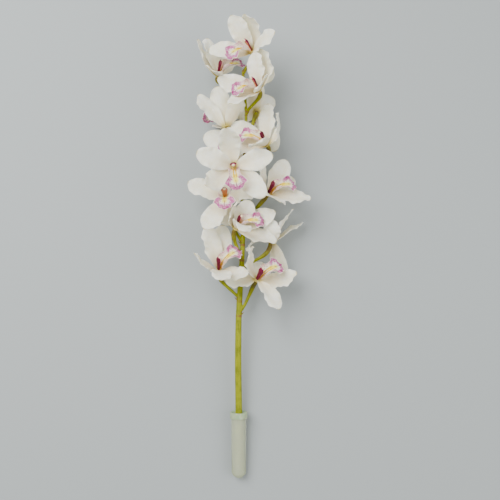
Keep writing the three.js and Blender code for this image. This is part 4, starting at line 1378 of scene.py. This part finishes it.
class TubeSizes(bpy.types.PropertyGroup):
    """The water tube, its cap and the water."""

    sides: IntProperty(name="Sides", description="Faces round the tube", default=72, min=12)
    plastic: colour_property("Tube", "The frosted plastic", 242, 246, 226)
    rubber: colour_property("Cap", "The cap's rubber", 160, 178, 140)
    tinge: colour_property("Water", "The water's tinge", 216, 226, 136)


class StageSizes(bpy.types.PropertyGroup):
    """The floor, the lights and the camera."""

    floor: length_property("Floor", "Width of the floor", 60.0, 1.0)
    distance: length_property("Camera distance", "From the camera to the spray's middle", 1.15, 0.5)
    fill: FloatProperty(
        name="Fill",
        description="Share of the picture's height that the spray fills",
        default=0.93,
        min=0.2,
        max=1,
        subtype="FACTOR",
    )
    grey: colour_property("Floor grey", "The floor's colour", 166, 172, 173)


class OrchidSettings(bpy.types.PropertyGroup):
    """All settings of the spray."""

    tepals: PointerProperty(type=TepalSizes)
    lip: PointerProperty(type=LipSizes)
    column: PointerProperty(type=ColumnSizes)
    stalk: PointerProperty(type=StalkSizes)
    tube: PointerProperty(type=TubeSizes)
    stage: PointerProperty(type=StageSizes)


# ---- operators -----------------------------------------------------------------------------


class ORCHID_OT_sepals(bpy.types.Operator):
    """Build the three sepals of every flower"""

    bl_idname = "orchid.sepals"
    bl_label = "Sepals"

    def execute(self, context):
        chosen = context.scene.orchid
        finish = tepal_finish("sepal tissue", (*chosen.tepals.sepal_light, 1), (*chosen.tepals.shade, 1))
        for number, flower in enumerate(FLOWERS, 1):
            part = tepals_of(flower, number, "sepals", chosen.tepals)
            piece(f"orchid_sepals_{number:02d}", part, [finish], "sepal", f"sepals_{number:02d}")
        return {"FINISHED"}


class ORCHID_OT_petals(bpy.types.Operator):
    """Build the two petals of every flower"""

    bl_idname = "orchid.petals"
    bl_label = "Petals"

    def execute(self, context):
        chosen = context.scene.orchid
        finish = tepal_finish("petal tissue", (*chosen.tepals.petal_light, 1), (*chosen.tepals.shade, 1))
        for number, flower in enumerate(FLOWERS, 1):
            part = tepals_of(flower, number, "petals", chosen.tepals)
            piece(f"orchid_petals_{number:02d}", part, [finish], "petal", f"petals_{number:02d}")
        return {"FINISHED"}


class ORCHID_OT_lips(bpy.types.Operator):
    """Build the lip of every flower"""

    bl_idname = "orchid.lips"
    bl_label = "Lips"

    def execute(self, context):
        chosen = context.scene.orchid
        finish = lip_finish()
        for number, flower in enumerate(FLOWERS, 1):
            part = moved(lip(number, chosen.lip), flower_place(flower))
            piece(f"orchid_lip_{number:02d}", part, [finish], "lip", f"lip_{number:02d}")
        return {"FINISHED"}


class ORCHID_OT_columns(bpy.types.Operator):
    """Build the column and pollen cap of every flower"""

    bl_idname = "orchid.columns"
    bl_label = "Columns"

    def execute(self, context):
        chosen = context.scene.orchid
        finishes = [
            column_finish(),
            plain_tissue("pollen cap", colour(240, 230, 196), colour(220, 200, 150)),
            plain_tissue("pollen marks", colour(196, 176, 40), colour(160, 130, 30)),
        ]
        for number, flower in enumerate(FLOWERS, 1):
            part = moved(column(chosen.column), flower_place(flower))
            piece(f"orchid_column_{number:02d}", part, finishes, "column", f"column_{number:02d}")
        return {"FINISHED"}


class ORCHID_OT_stalk(bpy.types.Operator):
    """Build the stem with its side stalks and small leaves"""

    bl_idname = "orchid.stalk"
    bl_label = "Stalk"

    def execute(self, context):
        chosen = context.scene.orchid
        finish = stalk_finish(chosen.stalk)
        piece("orchid_stalk", stalk(chosen.stalk, finish), [finish], "stem", "flower_stem")
        return {"FINISHED"}


class ORCHID_OT_tube(bpy.types.Operator):
    """Build the frosted water tube"""

    bl_idname = "orchid.tube"
    bl_label = "Water tube"

    def execute(self, context):
        chosen = context.scene.orchid
        part = lathe(tube_profile(), chosen.tube.sides)
        piece("frosted_tube", part, [tube_finish(chosen.tube)], "tube", "water_tube")
        return {"FINISHED"}


class ORCHID_OT_cap(bpy.types.Operator):
    """Build the tube's rubber cap round the stem"""

    bl_idname = "orchid.cap"
    bl_label = "Cap"

    def execute(self, context):
        chosen = context.scene.orchid
        line = stem_line()
        hole = np.interp(TUBE_LENGTH, line[:, 1], stem_radii(line)) + GAP / 2
        part = lathe(rounded(cap_profile(hole), 2), chosen.tube.sides)
        piece("rubber_cap", part, [cap_finish(chosen.tube)], "cap", "tube_cap")
        return {"FINISHED"}


class ORCHID_OT_water(bpy.types.Operator):
    """Build the water in the tube"""

    bl_idname = "orchid.water"
    bl_label = "Water"

    def execute(self, context):
        chosen = context.scene.orchid
        mesh = water_mesh(chosen.tube.sides)
        finished("tube_water", mesh, [water_finish(chosen.tube)], ["water"], sharp=35)
        return {"FINISHED"}


class ORCHID_OT_stage(bpy.types.Operator):
    """Build the floor, the lights and the camera"""

    bl_idname = "orchid.stage"
    bl_label = "Stage"

    def execute(self, context):
        stage(context.scene.orchid.stage)
        return {"FINISHED"}


# ---- the stage -----------------------------------------------------------------------------


def soft_light(name, at, aimed, size, power):
    lamp = bpy.data.lights.new(name, "AREA")
    lamp.shape, lamp.size, lamp.energy = "DISK", size, power
    made = bpy.data.objects.new(name, lamp)
    made.location = at
    made.rotation_euler = (Vector(aimed) - Vector(at)).to_track_quat("-Z", "Y").to_euler()
    bpy.context.scene.collection.objects.link(made)


def stage(sizes):
    half = sizes.floor / 2
    mesh = bpy.data.meshes.new("floor")
    corners = [(-half, -half, 0), (half, -half, 0), (half, half, 0), (-half, half, 0)]
    mesh.from_pydata(corners, [], [(0, 1, 2, 3)])
    material, graph, shader = finish_of("pale floor")
    wire(graph, shader, Base_Color=(*sizes.grey, 1), Roughness=0.8, Specular_IOR_Level=0.2)
    mesh.materials.append(material)
    floor = bpy.data.objects.new("floor", mesh)
    bpy.context.scene.collection.objects.link(floor)
    floor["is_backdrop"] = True
    world = bpy.data.worlds.new("pale room")
    world.use_nodes = True
    world.node_tree.nodes["Background"].inputs["Color"].default_value = colour(236, 236, 232)
    world.node_tree.nodes["Background"].inputs["Strength"].default_value = 0.85
    bpy.context.scene.world = world
    low, high = (np.array(corner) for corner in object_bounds())
    middle = (low + high) / 2
    soft_light("window", middle + (-0.9, 0.7, 1.5), middle, size=1.4, power=50)
    soft_light("fill", middle + (1.3, -0.3, 1.2), middle, size=1.6, power=14)
    camera = bpy.data.cameras.new("camera")
    made = bpy.data.objects.new("camera", camera)
    bpy.context.scene.collection.objects.link(made)
    away, up = SPRAY[:3, 2], SPRAY[:3, 1]
    place = np.eye(4)
    place[:3] = np.column_stack([np.cross(up, away), up, away, middle + away * sizes.distance])
    made.matrix_world = Matrix(place.tolist())
    half_length = (high - low)[1] / 2
    camera.lens = camera.sensor_width / 2 * sizes.distance / half_length * sizes.fill
    camera.clip_start, camera.clip_end = 0.01, 100
    bpy.context.scene.camera = made


class ORCHID_PT_panel(bpy.types.Panel):
    """The spray's operators and settings"""

    bl_label = "Orchid spray"
    bl_idname = "ORCHID_PT_panel"
    bl_space_type = "VIEW_3D"
    bl_region_type = "UI"
    bl_category = "Orchid"

    def draw(self, context):
        for operator in OPERATORS:
            self.layout.operator(operator.bl_idname)
        for group in ("tepals", "lip", "column", "stalk", "tube", "stage"):
            box = self.layout.box()
            sizes = getattr(context.scene.orchid, group)
            for name in sizes.bl_rna.properties.keys():
                if name not in ("rna_type", "name"):
                    box.prop(sizes, name)


OPERATORS = (
    ORCHID_OT_sepals,
    ORCHID_OT_petals,
    ORCHID_OT_lips,
    ORCHID_OT_columns,
    ORCHID_OT_stalk,
    ORCHID_OT_tube,
    ORCHID_OT_cap,
    ORCHID_OT_water,
    ORCHID_OT_stage,
)
GROUPS = (TepalSizes, LipSizes, ColumnSizes, StalkSizes, TubeSizes, StageSizes, OrchidSettings)
CLASSES = (*GROUPS, *OPERATORS, ORCHID_PT_panel)


def register():
    for made in CLASSES:
        bpy.utils.register_class(made)
    bpy.types.Scene.orchid = PointerProperty(type=OrchidSettings)


def unregister():
    del bpy.types.Scene.orchid
    for made in reversed(CLASSES):
        bpy.utils.unregister_class(made)


def main():
    register()
    for operator in OPERATORS:
        group, name = operator.bl_idname.split(".")
        getattr(getattr(bpy.ops, group), name)()


if __name__ == "__main__":
    main()
